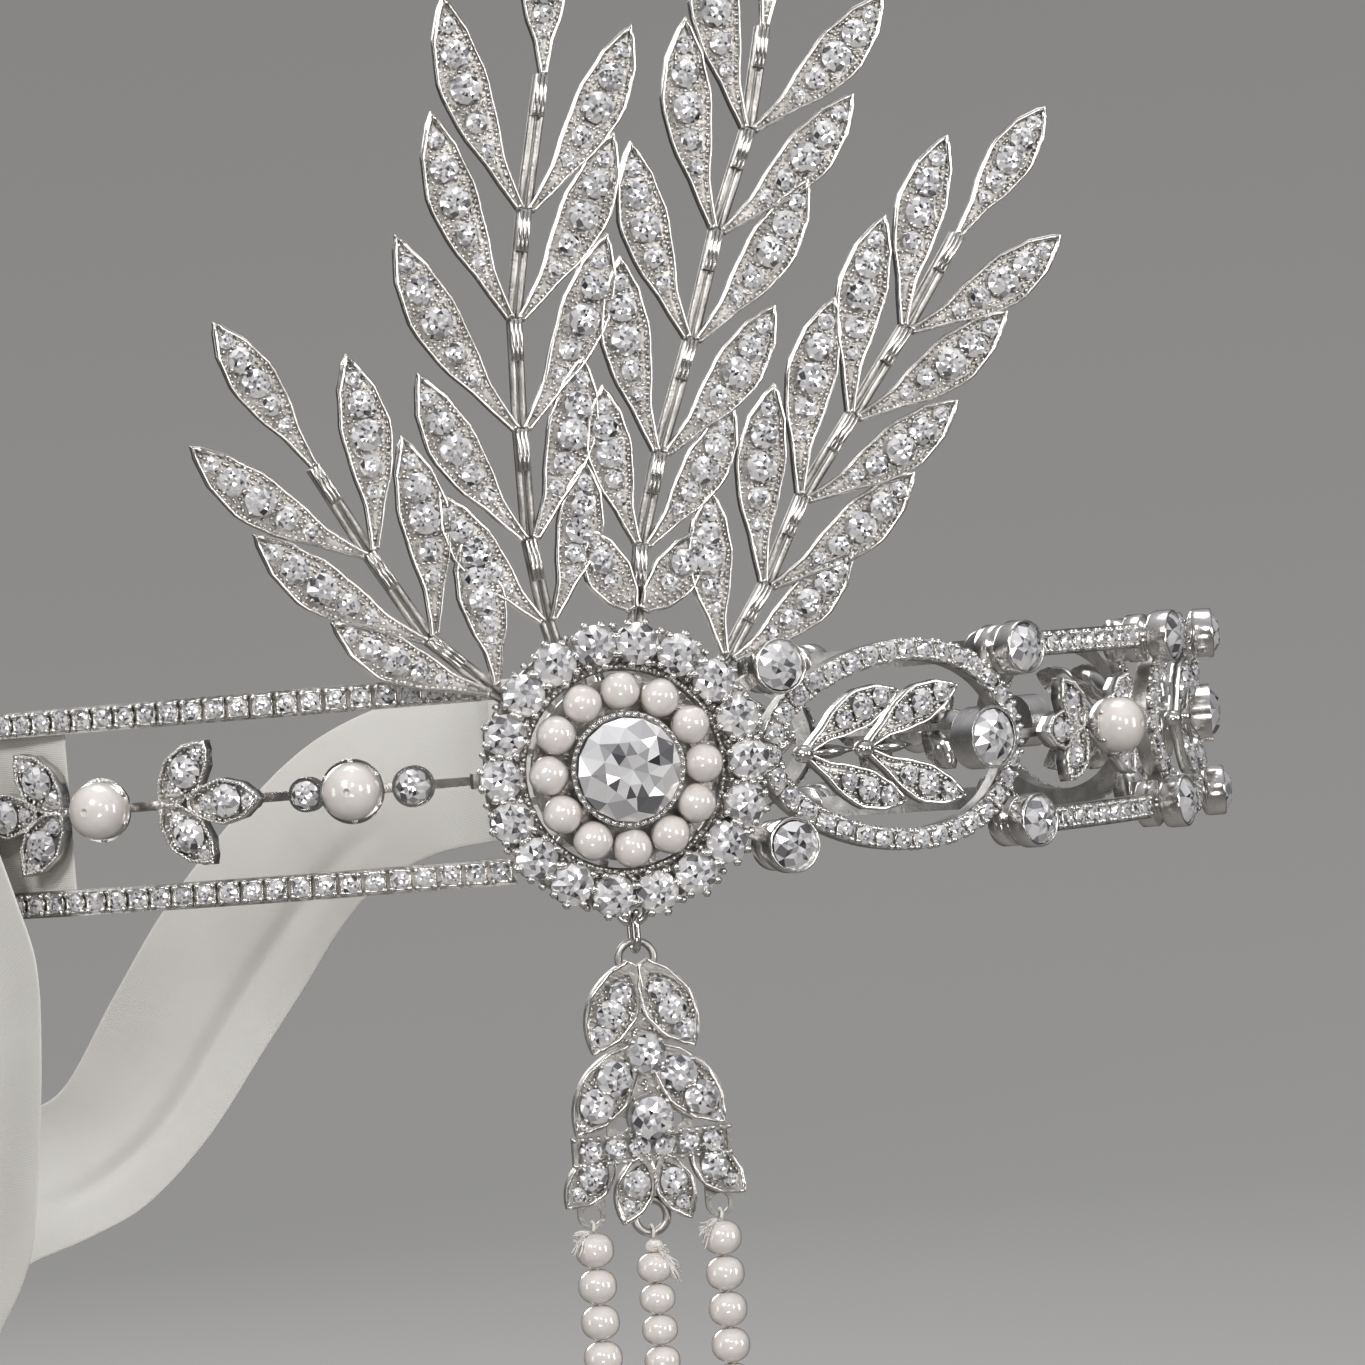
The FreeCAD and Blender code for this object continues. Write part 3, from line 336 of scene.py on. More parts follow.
def solids_of(node):
    """Points of each separate solid of a CAD node, as arrays."""
    mesh = NODES[node].data
    points = np.empty(len(mesh.vertices) * 3, np.float32)
    mesh.vertices.foreach_get("co", points)
    points = points.reshape(-1, 3).astype(float)
    keys = np.round(points / (0.002 * MM)).astype(np.int64)
    _, merged = np.unique(keys, axis=0, return_inverse=True)
    merged = merged.ravel()
    edges = np.empty(len(mesh.edges) * 2, np.int32)
    mesh.edges.foreach_get("vertices", edges)
    label = np.arange(merged.max() + 1)
    pairs = merged[edges.reshape(-1, 2)]
    while True:
        low = np.minimum(label[pairs[:, 0]], label[pairs[:, 1]])
        before = label.copy()
        np.minimum.at(label, pairs[:, 0], low)
        np.minimum.at(label, pairs[:, 1], low)
        label = label[label]
        if (label == before).all():
            break
    owner = label[merged]
    return [points[owner == key] for key in np.unique(owner)]


def outward_at(point):
    flat = Vector((point[0], point[1], 0))
    return flat.normalized()


def stone_places(node):
    """(matrix, radius) of every round stone of a node, with z along the stone's axis from its base."""
    places = []
    for points in solids_of(node):
        centre = (points.min(0) + points.max(0)) / 2
        offsets = points - points.mean(0)
        _, axes = np.linalg.eigh(offsets.T @ offsets)
        axis = Vector(axes[:, 0])
        if axis.dot(outward_at(centre)) < 0:
            axis = -axis
        heights = (points - centre) @ np.array(axis)
        flat = (points - centre) - np.outer(heights, np.array(axis))
        middle = (flat.min(0) + flat.max(0)) / 2
        radius = float(np.linalg.norm(flat - middle, axis=1).max())
        base = Vector(centre + middle) + axis * float(heights.min())
        side = UP.cross(axis).normalized()
        up = axis.cross(side)
        places.append((axes_matrix(side, up, axis, base), radius))
    return places


def lathe(profile, segments):
    """Template of a profile, (radius, height) from low to high, turned about z. A radius of 0 is a pole."""
    points = []
    rows = []
    for radius, height in profile:
        if radius == 0:
            rows.append([len(points)])
            points.append((0, 0, height))
            continue
        rows.append(list(range(len(points), len(points) + segments)))
        for i in range(segments):
            angle = 2 * math.pi * i / segments
            points.append((radius * math.cos(angle), radius * math.sin(angle), height))
    faces = []
    for low, high in zip(rows, rows[1:]):
        for i in range(segments):
            j = (i + 1) % segments
            corners = (low[i % len(low)], low[j % len(low)], high[j % len(high)], high[i % len(high)])
            faces.append(tuple(dict.fromkeys(corners)))
    return np.array(points, float), faces


def ball(segments=8, rings=5):
    profile = []
    for i in range(rings + 1):
        angle = math.pi * i / rings
        radius = 0 if i in (0, rings) else math.sin(angle)
        profile.append((radius, -math.cos(angle)))
    return lathe(profile, segments)


def gem(fold):
    """Cut stone of girdle radius 1, base on the XY plane, with a star of shallow facets in its table."""
    def ring(radius, height, shift, count=fold):
        return [(radius * math.cos(2 * math.pi * (i + shift) / count),
                 radius * math.sin(2 * math.pi * (i + shift) / count), height) for i in range(count)]

    n = fold
    points = [(0, 0, 0.83)]
    points += ring(0.30, 0.93, 0.5)
    points += ring(0.58, 0.91, 0.5)
    points += ring(0.53, 0.85, 0.0)
    points += ring(0.80, 0.74, 0.0)
    points += ring(1.0, 0.54, 0.0, 2 * n)
    points += ring(1.0, 0.44, 0.0, 2 * n)
    points += ring(0.6, 0.0, 0.0, 2 * n)
    inner, table, notch, star = (1 + k * n for k in range(4))
    girdle = 1 + 4 * n
    belt = girdle + 2 * n
    foot = belt + 2 * n
    faces = []
    for i in range(n):
        j = (i - 1) % n
        k = (i + 1) % n
        faces.append((0, inner + j, inner + i))
        faces.append((inner + j, table + j, notch + i))
        faces.append((inner + j, notch + i, inner + i))
        faces.append((inner + i, notch + i, table + i))
        faces.append((table + j, star + i, notch + i))
        faces.append((notch + i, star + i, table + i))
        faces.append((table + i, star + i, girdle + 2 * i + 1, star + k))
        faces.append((star + i, girdle + 2 * i, girdle + 2 * i + 1))
        faces.append((star + i, girdle + (2 * i - 1) % (2 * n), girdle + 2 * i))
    for i in range(2 * n):
        j = (i + 1) % (2 * n)
        faces.append((girdle + i, belt + i, belt + j, girdle + j))
        faces.append((belt + i, foot + i, foot + j, belt + j))
    faces.append(tuple(reversed(range(foot, foot + 2 * n))))
    return np.array(points, float), faces


def rod(radius, length, segments=8):
    """Round rod from the XY plane up, with softened ends."""
    soft = radius * 0.3
    return lathe(((0, 0), (radius - soft, 0), (radius, soft), (radius, length - soft),
                  (radius - soft, length), (0, length)), segments)


BALL = ball(12, 8)
BEAD = ball(6, 4)
GEM_SMALL = gem(6)
GEM_LARGE = gem(8)
LARGE_STONE = 1.4 * MM      # girdle radius from which a stone gets the finer cut


def facet_reflections(count):
    """Painted reflection per facet: a random tone, mostly middle with some near black and some bright,
    standing in for the dark and the light each facet reflects.
    """
    return [min(1.0, max(0.0, rng.gauss(0.56, 0.27))) for _ in range(count)]


def cut_stones(node, name, body, tilt=5.0, swell=1.0):
    """Cut stones for a crystal node, each turned and leaned a little by chance. Returns their places."""
    stones = Collector()
    places = [(matrix, radius * swell) for matrix, radius in stone_places(node)]
    for matrix, radius in places:
        template = GEM_LARGE if radius > LARGE_STONE else GEM_SMALL
        lean = (Matrix.Rotation(math.radians(rng.uniform(-tilt, tilt)), 4, "X")
                @ Matrix.Rotation(math.radians(rng.uniform(-tilt, tilt)), 4, "Y")
                @ Matrix.Rotation(rng.uniform(0, 2 * math.pi), 4, "Z"))
        # Each facet gets a random painted reflection tone.
        stones.add(template, matrix @ lean @ Matrix.Scale(radius, 4), 0, facet_reflections(len(template[1])))
    stones.piece(name, [CRYSTAL], body, [node], "crystal", smooth=False, reflection_tones=True)
    return places


def claws(grains, places, count, size, reach=1.0, height=0.62):
    """Small rounded grains that hold each stone at its girdle."""
    for matrix, radius in places:
        for i in range(count):
            at = round_axis(radius * reach, 2 * math.pi * (i + 0.5) / count, radius * height)
            grain = size * radius
            grains.add(BEAD, matrix @ at @ Matrix.Diagonal((grain, grain, grain * 1.15, 1)))


def claw_set_stones(node, name, prongs_name, tilt, size, height=0.62):
    """Stones of a casting on the band, each with four claws. Returns their places."""
    places = cut_stones(node, name, "band", tilt, 1.12)
    prongs = Collector()
    claws(prongs, places, 4, size, 1.0, height)
    prongs.piece(prongs_name, [SILVER], "band", (), "rhodium_metal")
    return places


# ---- leaves

SLIM_LEAF = ((0.0, 0.17), (0.2, 0.36), (0.42, 0.80), (0.62, 1.0), (0.82, 0.74), (0.94, 0.34), (1.0, 0.0))
BROAD_LEAF = ((0.0, 0.26), (0.2, 0.74), (0.48, 1.0), (0.75, 0.78), (0.92, 0.34), (1.0, 0.0))
LEAF_STEPS = 22             # stations along a leaf
LEAF_RIM = 0.34 * MM        # width of the bright rim
LEAF_HEIGHT = 1.25 * MM
LEAF_FLOOR = 0.62 * MM


def half_width(profile, share):
    """Smooth half width of a leaf, as a share of its half width, at a share of its length."""
    for (s0, w0), (s1, w1) in zip(profile, profile[1:]):
        if share <= s1:
            t = (share - s0) / (s1 - s0)
            eased = t * t * (3 - 2 * t) if w1 >= w0 else math.sin(t * math.pi / 2) ** 1.6
            return w0 + (w1 - w0) * (0.5 * t + 0.5 * eased)
    return 0.0


def leaf_ring(length, width, bow, profile, inset):
    """Closed outline of a leaf drawn in by a margin: up its left side to the tip, back down the right."""
    left = []
    right = []
    for i in range(LEAF_STEPS + 1):
        share = 0.5 - 0.5 * math.cos(math.pi * i / LEAF_STEPS)
        inner = share * (1 - 2.6 * inset / length) + inset / length
        half = max(half_width(profile, share) * width / 2 - inset, 0.06 * MM)
        if i == LEAF_STEPS:
            half = 0
        middle = 4 * bow * length * inner * (1 - inner)
        left.append((inner * length, middle + half))
        right.append((inner * length, middle - half))
    return left + right[-2::-1]


def leaf_template(length, width, bow, profile, height=LEAF_HEIGHT, floor=LEAF_FLOOR, rim=LEAF_RIM):
    """Two templates of a leaf lying on the XY plane: its polished wall and rim, and its rough floor."""
    steps = ((0.0, 0.0), (0.0, height - rim * 0.4), (rim * 0.12, height - rim * 0.1), (rim * 0.5, height),
             (rim * 0.88, height - rim * 0.12), (rim, height - rim * 0.4), (rim * 1.05, floor))
    points = []
    count = 2 * LEAF_STEPS + 1
    for inset, level in steps:
        points += [(x, y, level) for x, y in leaf_ring(length, width, bow, profile, inset)]
    wall = []
    for row in range(len(steps) - 1):
        for i in range(count):
            j = (i + 1) % count
            wall.append((row * count + j, row * count + i, (row + 1) * count + i, (row + 1) * count + j))
    for i in range(LEAF_STEPS):
        a, b = i, i + 1
        c, d = count - 1 - b, count - 1 - a
        wall.append(tuple(dict.fromkeys((a, b, c, d))))
    across = 5
    floor_points = []
    ring = leaf_ring(length, width, bow, profile, rim * 1.05)
    for i in range(LEAF_STEPS + 1):
        x0, y0 = ring[i]
        x1, y1 = ring[(count - 1 - i) % count] if i < LEAF_STEPS else ring[i]
        for k in range(across + 1):
            t = k / across
            crown = 0.10 * MM * math.sin(math.pi * t)
            floor_points.append((x0 + (x1 - x0) * t, y0 + (y1 - y0) * t, floor + crown))
    bed = []
    for i in range(LEAF_STEPS):
        for k in range(across):
            a = i * (across + 1) + k
            bed.append((a, a + 1, a + across + 2, a + across + 1))
    return (np.array(points), wall), (np.array(floor_points), bed)


def leaf_solids(node):
    """(matrix, length, bow) of each separate leaf of a CAD node, from its base to its tip."""
    found = []
    for points in solids_of(node):
        centre = (points.min(0) + points.max(0)) / 2
        mean = points.mean(0)
        _, axes = np.linalg.eigh((points - mean).T @ (points - mean))
        normal = Vector(axes[:, 0])
        if normal.dot(outward_at(centre)) < 0:
            normal = -normal
        rough = axes[:, 2]
        along = (points - mean) @ rough
        if along.max() > -along.min():
            rough = -rough
            along = -along
        tip = points[along > along.max() - 0.02 * MM].mean(0)
        base = points[along < along.min() + 0.35 * MM].mean(0)
        axis = Vector(tip - base)
        axis = (axis - normal * axis.dot(normal))
        length = axis.length
        axis.normalize()
        side = normal.cross(axis)
        offsets = (points - base) @ np.array(side)
        bow = float(offsets.mean()) / (0.80 * length)
        bow = 0.05 * np.sign(bow) if abs(bow) > 0.015 else 0.0
        low = ((points - base) @ np.array(normal)).min()
        origin = Vector(base) + normal * float(low)
        found.append((axes_matrix(axis, side, normal, origin), length, bow))
    return found


class LeafWork:
    """Leaves of one casting: polished walls, rough floors, grains between the stones and beaded rims."""

    def __init__(self, stones):
        self.mesh = Collector()
        self.centres = np.array([m.translation for m, _ in stones])
        self.radii = np.array([r for _, r in stones])

    def leaf(self, matrix, length, width, bow, profile, height=LEAF_HEIGHT, beaded=False):
        wall, bed = leaf_template(length, width, bow, profile, height)
        self.mesh.add(wall, matrix)
        self.mesh.add(bed, matrix, 1)
        self.grains(matrix, length, width, bow, profile)
        if beaded:
            self.milgrain(matrix, length, width, bow, profile, height)

    def grains(self, matrix, length, width, bow, profile):
        """Cast grains that fill the floor where no stone sits."""
        pitch = 0.54 * MM
        rows = int(length / pitch)
        for row in range(2, rows):
            share = row / rows
            half = half_width(profile, share) * width / 2 - LEAF_RIM - 0.15 * MM
            if half < 0.1 * MM:
                continue
            lanes = max(1, int(2 * half / pitch) + 1)
            for lane in range(lanes):
                y = 0 if lanes == 1 else -half + 2 * half * lane / (lanes - 1)
                y += 4 * bow * length * share * (1 - share)
                x = share * length + rng.uniform(-0.12, 0.12) * MM
                size = rng.uniform(0.20, 0.31) * MM
                place = matrix @ Matrix.Translation((x, y, LEAF_FLOOR + 0.16 * MM))
                spot = np.array(place.translation)
                gap = np.linalg.norm(self.centres - spot, axis=1) - self.radii
                if gap.min() > 0.10 * MM:
                    self.mesh.add(BEAD, place @ Matrix.Diagonal((size, size, size * 1.3, 1)))

    def milgrain(self, matrix, length, width, bow, profile, height):
        """Row of fine beads along the rim."""
        ring = leaf_ring(length, width, bow, profile, LEAF_RIM * 0.5)
        pitch = 0.46 * MM
        travelled = 0.0
        for (x0, y0), (x1, y1) in zip(ring, ring[1:]):
            step = math.hypot(x1 - x0, y1 - y0)
            while travelled < step:
                t = travelled / step if step else 0
                at = Matrix.Translation((x0 + (x1 - x0) * t, y0 + (y1 - y0) * t, height))
                self.mesh.add(BEAD, matrix @ at @ Matrix.Scale(0.20 * MM, 4))
                travelled += pitch
            travelled -= step

    def piece(self, name, body, replaced):
        return self.mesh.piece(name, [SILVER, CASTING], body, replaced, "pave_castings")


# ---- sprays

def stem_ribs(ribs, points):
    """Three fine wires side by side on the front of a short stem rod."""
    mean = points.mean(0)
    _, axes = np.linalg.eigh((points - mean).T @ (points - mean))
    along = Vector(axes[:, 2])
    length = float(np.ptp((points - mean) @ axes[:, 2]))
    if length > 6 * MM:
        return
    side = along.cross(Vector((0, -1, 0))).normalized()
    front = float(points[:, 1].min())
    for step in (-0.43, 0, 0.43):
        base = Vector((mean[0], front - 0.02 * MM, mean[2])) + side * (step * MM) - along * (length / 2)
        turn = along.to_track_quat("Z", "Y").to_matrix().to_4x4()
        ribs.add(rod(0.22 * MM, length), Matrix.Translation(base) @ turn)


def make_sprays():
    stones = claw_set_stones("spray_crystals", "spray_stones", "spray_stone_grains", 6.0, 0.17, 0.66)
    ribs = Collector()
    for number in range(1, 5):
        for points in solids_of(f"spray_{number}_stem"):
            stem_ribs(ribs, points)
    ribs.piece("spray_stem_ribs", [SILVER], "band", (), "rhodium_metal")
    for number in range(1, 5):
        node = f"spray_{number}_leaves"
        work = LeafWork(stones)
        for matrix, length, bow in leaf_solids(node):
            profile = BROAD_LEAF if length < 12 * MM else SLIM_LEAF
            work.leaf(matrix, length, (5.15 if length < 18.8 * MM else 5.6) * MM, bow, profile)
        work.piece(f"spray_{number}_cast_leaves", "band", [node])


# ---- band castings

SPRIG_LEAF = (14.3 * MM, 4.4 * MM)
SPRIG_BASES = (-13.6 * MM, -5.6 * MM)
SPRIG_SPREAD = 25.0
SPRIG_LIFT = 0.9 * MM
SPRIG_BOW = 0.05
TREFOIL_LIFT = 0.4 * MM
TREFOIL_HEIGHT = 1.6 * MM
TREFOIL_JOINT = 3.6 * MM
REAR_TREFOILS = ((48.8 * MM, 1), (61.2 * MM, -1))      # arc behind the medallion, and the side it fans to
OVAL_CENTRES = (22.15, 64.75, 107.35, 149.95)
PEARL_CENTRES = (43.45, 86.05, 128.65)
REAR_PEARLS = (27.7 * MM, 55.0 * MM)                    # arc behind the medallion
PEARL_ANGLES = (*[-math.degrees(arc / BAND_R) for arc in REAR_PEARLS], *PEARL_CENTRES)
HALO_GAPS = 18              # gaps between the halo stones, each with its posts


def blade_template(length, width, thick):
    """Polished pointed blade with a ridge."""
    points = [(0, 0, 0)]
    for share, part in ((0.25, 0.8), (0.5, 1.0), (0.75, 0.7)):
        half = part * width / 2
        points += [(share * length, half, 0), (share * length, 0, thick), (share * length, -half, 0)]
    points.append((length, 0, 0.2 * thick))
    faces = [(0, 2, 1), (0, 3, 2)]
    for row in range(2):
        a = 1 + 3 * row
        faces += [(a, a + 1, a + 4, a + 3), (a + 1, a + 2, a + 5, a + 4)]
    faces += [(7, 8, 10), (8, 9, 10), (0, 1, 4, 7, 10, 9, 6, 3)]
    return np.array(points), faces


def make_sprigs():
    stones = claw_set_stones("oval_sprig_crystals", "oval_sprig_stones", "oval_sprig_grains", 6.0, 0.19)
    length, width = SPRIG_LEAF
    blade = blade_template(6.0 * MM, 1.6 * MM, 0.8 * MM)
    stem = blade_template(9.5 * MM, 1.0 * MM, 0.9 * MM)
    for number in range(1, 5):
        node = f"oval_sprig_{number}"
        middle = band_frame(OVAL_CENTRES[number - 1])
        work = LeafWork(stones)
        for base in SPRIG_BASES:
            for side in (1, -1):
                place = middle @ spun(side * SPRIG_SPREAD, base, 0, SPRIG_LIFT)
                work.leaf(place, length, width, side * SPRIG_BOW, SLIM_LEAF)
            work.mesh.add(blade, middle @ spun(0, base + 0.6 * MM, 0, SPRIG_LIFT + 0.3 * MM))
            knob = middle @ Matrix.Translation((base, 0, SPRIG_LIFT + 0.6 * MM))
            work.mesh.add(BALL, knob @ Matrix.Diagonal((1.2 * MM, 1.0 * MM, 1.1 * MM, 1)))
        work.mesh.add(stem, middle @ spun(180, SPRIG_BASES[1], 0, SPRIG_LIFT))
        work.piece(f"oval_sprig_{number}_casting", "band", [node])


def make_trefoils():
    stones = claw_set_stones("trefoil_crystals", "trefoil_stones", "trefoil_grains", 5.0, 0.17)
    bar = rod(0.55 * MM, 3.0 * MM)
    along = Matrix.Rotation(math.radians(90), 4, "Y")
    rear = [(-arc, side) for arc, side in REAR_TREFOILS]
    panels = [(centre + side * TREFOIL_JOINT, side)
              for centre in (PEARL_CENTRES[i] * BAND_R * math.pi / 180 for i in range(3)) for side in (-1, 1)]
    for node, places, leaf, fan, neck in (
            ("panel_trefoils", panels, (6.8 * MM, 4.4 * MM), 58.0, 1.0 * MM),
            ("rear_trefoils", rear, (8.6 * MM, 5.0 * MM), 50.0, 3.0 * MM)):
        work = LeafWork(stones)
        for arc, side in places:
            place = band_frame(math.degrees(arc / BAND_R)) @ spun(0 if side > 0 else 180, 0, 0, TREFOIL_LIFT)
            for angle, shift in ((fan, 0), (-fan, 0), (0, neck)):
                work.leaf(place @ spun(angle, shift), *leaf, 0, BROAD_LEAF, TREFOIL_HEIGHT, True)
            work.mesh.add(bar, place @ Matrix.Translation((-0.6 * MM, 0, 0.5 * MM)) @ along, 0)
        work.piece(node + "_castings", "band", [node])


# ---- stone rows

def cell(half, height, wall):
    """Square cup on the XY plane, open at its front, with softened rims."""
    soft = wall * 0.3
    points = []
    for inset, level in ((0, 0), (0, height - soft), (soft, height), (wall - soft, height),
                         (wall, height - soft), (wall, height * 0.3)):
        reach = half - inset
        points += [(reach, reach, level), (-reach, reach, level),
                   (-reach, -reach, level), (reach, -reach, level)]
    faces = []
    for row in range(0, 20, 4):
        for i in range(4):
            j = (i + 1) % 4
            faces.append((row + i, row + j, row + 4 + j, row + 4 + i))
    return np.array(points, float), faces


def row_turn(places, index):
    """Matrix of a stone with its x turned along the row, from its two nearest neighbours."""
    here = places[index][0]
    centres = np.array([m.translation for m, _ in places])
    near = np.argsort(np.linalg.norm(centres - centres[index], axis=1))[1:3]
    along = here.to_3x3().transposed() @ Vector(centres[near[0]] - centres[near[1]])
    return here @ Matrix.Rotation(math.atan2(along.y, along.x), 4, "Z")


def cell_row(node, name, half, height, grain, body="band"):
    """Square cups with four corner grains round every stone of a row."""
    places = cut_stones(node, name, body, 3.0)
    work = Collector()
    cup = cell(half, height, 0.20 * MM)
    corner = half - grain * 0.55
    for index in range(len(places)):
        turned = row_turn(places, index)
        work.add(cup, turned)
        for x, y in ((1, 1), (-1, 1), (-1, -1), (1, -1)):
            at = Matrix.Translation((x * corner, y * corner, height + grain * 0.1))
            work.add(BEAD, turned @ at @ Matrix.Scale(grain, 4))
    work.piece(name + "_cups", [SILVER], body, (), "rhodium_metal")


COLLET_ANGLES = [11.5 + 21.3 * i for i in range(8)]
COLLET_PROFILE = (          # corner cup: a base between the rails, a waist, and a bezel round the stone
    (0, -1.2), (2.5, -1.2), (2.75, -1.0), (2.75, 0.75), (2.55, 0.95), (1.8, 1.15), (1.7, 1.4), (2.3, 1.65),
    (2.85, 1.95), (3.0, 2.4), (3.0, 4.1), (2.96, 4.3), (2.86, 4.4), (2.72, 4.38), (2.63, 4.2), (2.6, 3.6),
    (2.6, 2.9), (0, 2.8))


def collar(section, segments):
    """Template of a ring about z with a closed section given as (across, height)."""
    placed, faces = [], []
    for i in range(segments):
        turn = 2 * math.pi * i / segments
        placed += [(across * math.cos(turn), across * math.sin(turn), height) for across, height in section]
    size = len(section)
    for i in range(segments):
        j = (i + 1) % segments
        for k in range(size):
            m = (k + 1) % size
            faces.append((i * size + k, j * size + k, j * size + m, i * size + m))
    return np.array(placed, float), faces


def bead_ring(work, radius, height, count, size):
    """Row of beads in a circle round the medallion's axis."""
    for i in range(count):
        at = round_axis(radius, 2 * math.pi * i / count, height)
        work.add(BEAD, band_frame(0) @ at @ Matrix.Scale(size, 4))


def make_settings():
    cell_row("oval_frame_crystals", "oval_frame_stones", 1.10 * MM, 0.60 * MM, 0.42 * MM)
    cell_row("rail_crystals", "rail_stones", 1.12 * MM, 0.72 * MM, 0.40 * MM)
    prongs = Collector()
    for node, name, count, size in (
            ("halo_crystals", "halo_stones", 8, 0.22), ("centre_crystal", "centre_stone", 0, 0),
            ("corner_crystals", "corner_stones", 0, 0), ("oval_collet_crystals", "oval_collet_stones", 0, 0),
            ("rear_collet_crystals", "rear_collet_stones", 0, 0)):
        places = cut_stones(node, name, "band", 3.0, 1.13 if count else 1.0)
        if count:
            claws(prongs, places, count, size, 1.02)
    for theta in PEARL_ANGLES:
        for i in range(6):
            at = round_axis(3.12 * MM, math.radians(60 * i + 30), 3.55 * MM)
            prongs.add(BEAD, band_frame(theta) @ at @ Matrix.Scale(0.34 * MM, 4))
    for i in range(HALO_GAPS):
        angle = math.radians(-90 + 360 / HALO_GAPS * i)
        for reach, size, posted in ((11.6, 0.42, True), (13.2, 0.34, False), (15.1, 0.42, True)):
            at = round_axis(reach * MM, angle, 3.1 * MM)
            prongs.add(BEAD, band_frame(0) @ at @ Matrix.Scale(size * MM, 4))
            if posted:
                prongs.add(rod(0.24 * MM, 1.8 * MM), band_frame(0) @ round_axis(reach * MM, angle, 1.4 * MM))
    bead_ring(prongs, 5.84 * MM, 5.12 * MM, 46, 0.31 * MM)
    bead_ring(prongs, 10.75 * MM, 2.65 * MM, 72, 0.36 * MM)
    bead_ring(prongs, 11.45 * MM, 2.2 * MM, 72, 0.34 * MM)
    wire = [(10.4, 1.3), (11.75, 1.3), (11.75, 2.1), (10.9, 2.55), (10.4, 2.5)]
    prongs.add(collar([(across * MM, height * MM) for across, height in wire], 72), band_frame(0), 1)
    prongs.piece("band_prongs", [SILVER, CASTING], "band", (), "rhodium_metal")
    cups = Collector()
    profile = lathe([(across * MM, height * MM) for across, height in COLLET_PROFILE], 40)
    for theta in COLLET_ANGLES:
        for up in (9.5 * MM, -9.5 * MM):
            cups.add(profile, band_frame(theta, 0, up))
    cups.piece("corner_cups", [SILVER], "band", ["corner_collets"], "rhodium_metal")


# ---- tassel

TASSEL_APEX = -19.8 * MM
TASSEL_BACK = 0.6 * MM
TASSEL_HEIGHT = 1.3 * MM
TASSEL_LEAVES = (           # base below the apex, length, width and direction of the right-hand leaves
    ((0.5, -0.6), 10.6, 5.6, -62),
    ((1.2, -9.6), 11.0, 5.6, -52),
    ((4.3, -20.6), 7.4, 4.4, -44),
    ((0.7, -20.8), 7.8, 4.2, -68))


def make_tassel():
    stones = cut_stones("tassel_crystals", "tassel_stones", "tassel_plate", 6.0, 1.12)
    work = LeafWork(stones)
    claws(work.mesh, stones, 4, 0.18, 1.0, 0.66)
    plane = band_frame(0, 0, 0, TASSEL_BACK)
    for (x, y), length, width, direction in TASSEL_LEAVES:
        for side in (1, -1):
            angle = direction if side > 0 else 180 - direction
            place = plane @ spun(angle, side * x * MM, TASSEL_APEX + y * MM)
            work.grains(place, length * MM, width * MM, 0, BROAD_LEAF)
            wall, _ = leaf_template(length * MM, width * MM, 0, BROAD_LEAF, TASSEL_HEIGHT - 0.25 * MM,
                                    TASSEL_HEIGHT - 0.8 * MM, 0.26 * MM)
            work.mesh.add(wall, place @ Matrix.Translation((0, 0, 0.3 * MM)))
    for row in (-18.65 * MM, -21.35 * MM):
        for i in range(20):
            at = Matrix.Translation(((i - 9.5) * 0.88 * MM, TASSEL_APEX + row, TASSEL_HEIGHT + 0.02 * MM))
            work.mesh.add(BEAD, plane @ at @ Matrix.Scale(0.30 * MM, 4))
    for i in range(90):
        x, y = rng.uniform(-2.4, 2.4), rng.uniform(-17.6, -5.4)
        place = plane @ Matrix.Translation((x * MM, TASSEL_APEX + y * MM, 0.72 * MM))
        spot = np.array(place.translation)
        if (np.linalg.norm(work.centres - spot, axis=1) - work.radii).min() > 0.05 * MM:
            work.mesh.add(BEAD, place @ Matrix.Scale(rng.uniform(0.24, 0.34) * MM, 4))
    work.piece("tassel_grains", "tassel_plate", ())


# ---- pearls and strands

PEARL_RING_R = 8.3 * MM     # ring of pearls round the centre stone
STRAND_Y = -(BAND_R + 0.85 * MM)
THREAD_DIA = 0.6 * MM
SIDE_PEARLS = (4.1 * MM, 3.8 * MM, 18)
MIDDLE_PEARLS = (3.8 * MM, 3.3 * MM, 20)
# name, x, pivot height, loop radius, first pearl's height, pearls, side of its tuft
STRANDS = (
    ("left", -6.9 * MM, -47.75 * MM, 0.6 * MM, -50.2 * MM, SIDE_PEARLS, -1),
    ("middle", -0.6 * MM, -48.95 * MM, 0.8 * MM, -52.6 * MM, MIDDLE_PEARLS, 1),
    ("right", 6.9 * MM, -47.75 * MM, 0.6 * MM, -50.2 * MM, SIDE_PEARLS, -1))


def pearl(diameter, squash=1.0, bore=0.36 * MM):
    """Pearl about z with a small drilled recess at each pole."""
    radius = diameter / 2
    profile = []
    for i in range(21):
        angle = math.pi * i / 20
        across = radius * math.sin(angle)
        if across > bore:
            height = math.cos(angle)
            profile.append((across, -radius * squash * math.copysign(abs(height) ** 0.86, height)))
    low, high = profile[0][1], profile[-1][1]
    recess = 0.35 * MM
    return lathe([(0, low + recess), (bore * 0.9, low + recess), (bore, low - 0.03 * MM), *profile,
                  (bore, high + 0.03 * MM), (bore * 0.9, high - recess), (0, high - recess)], 32)


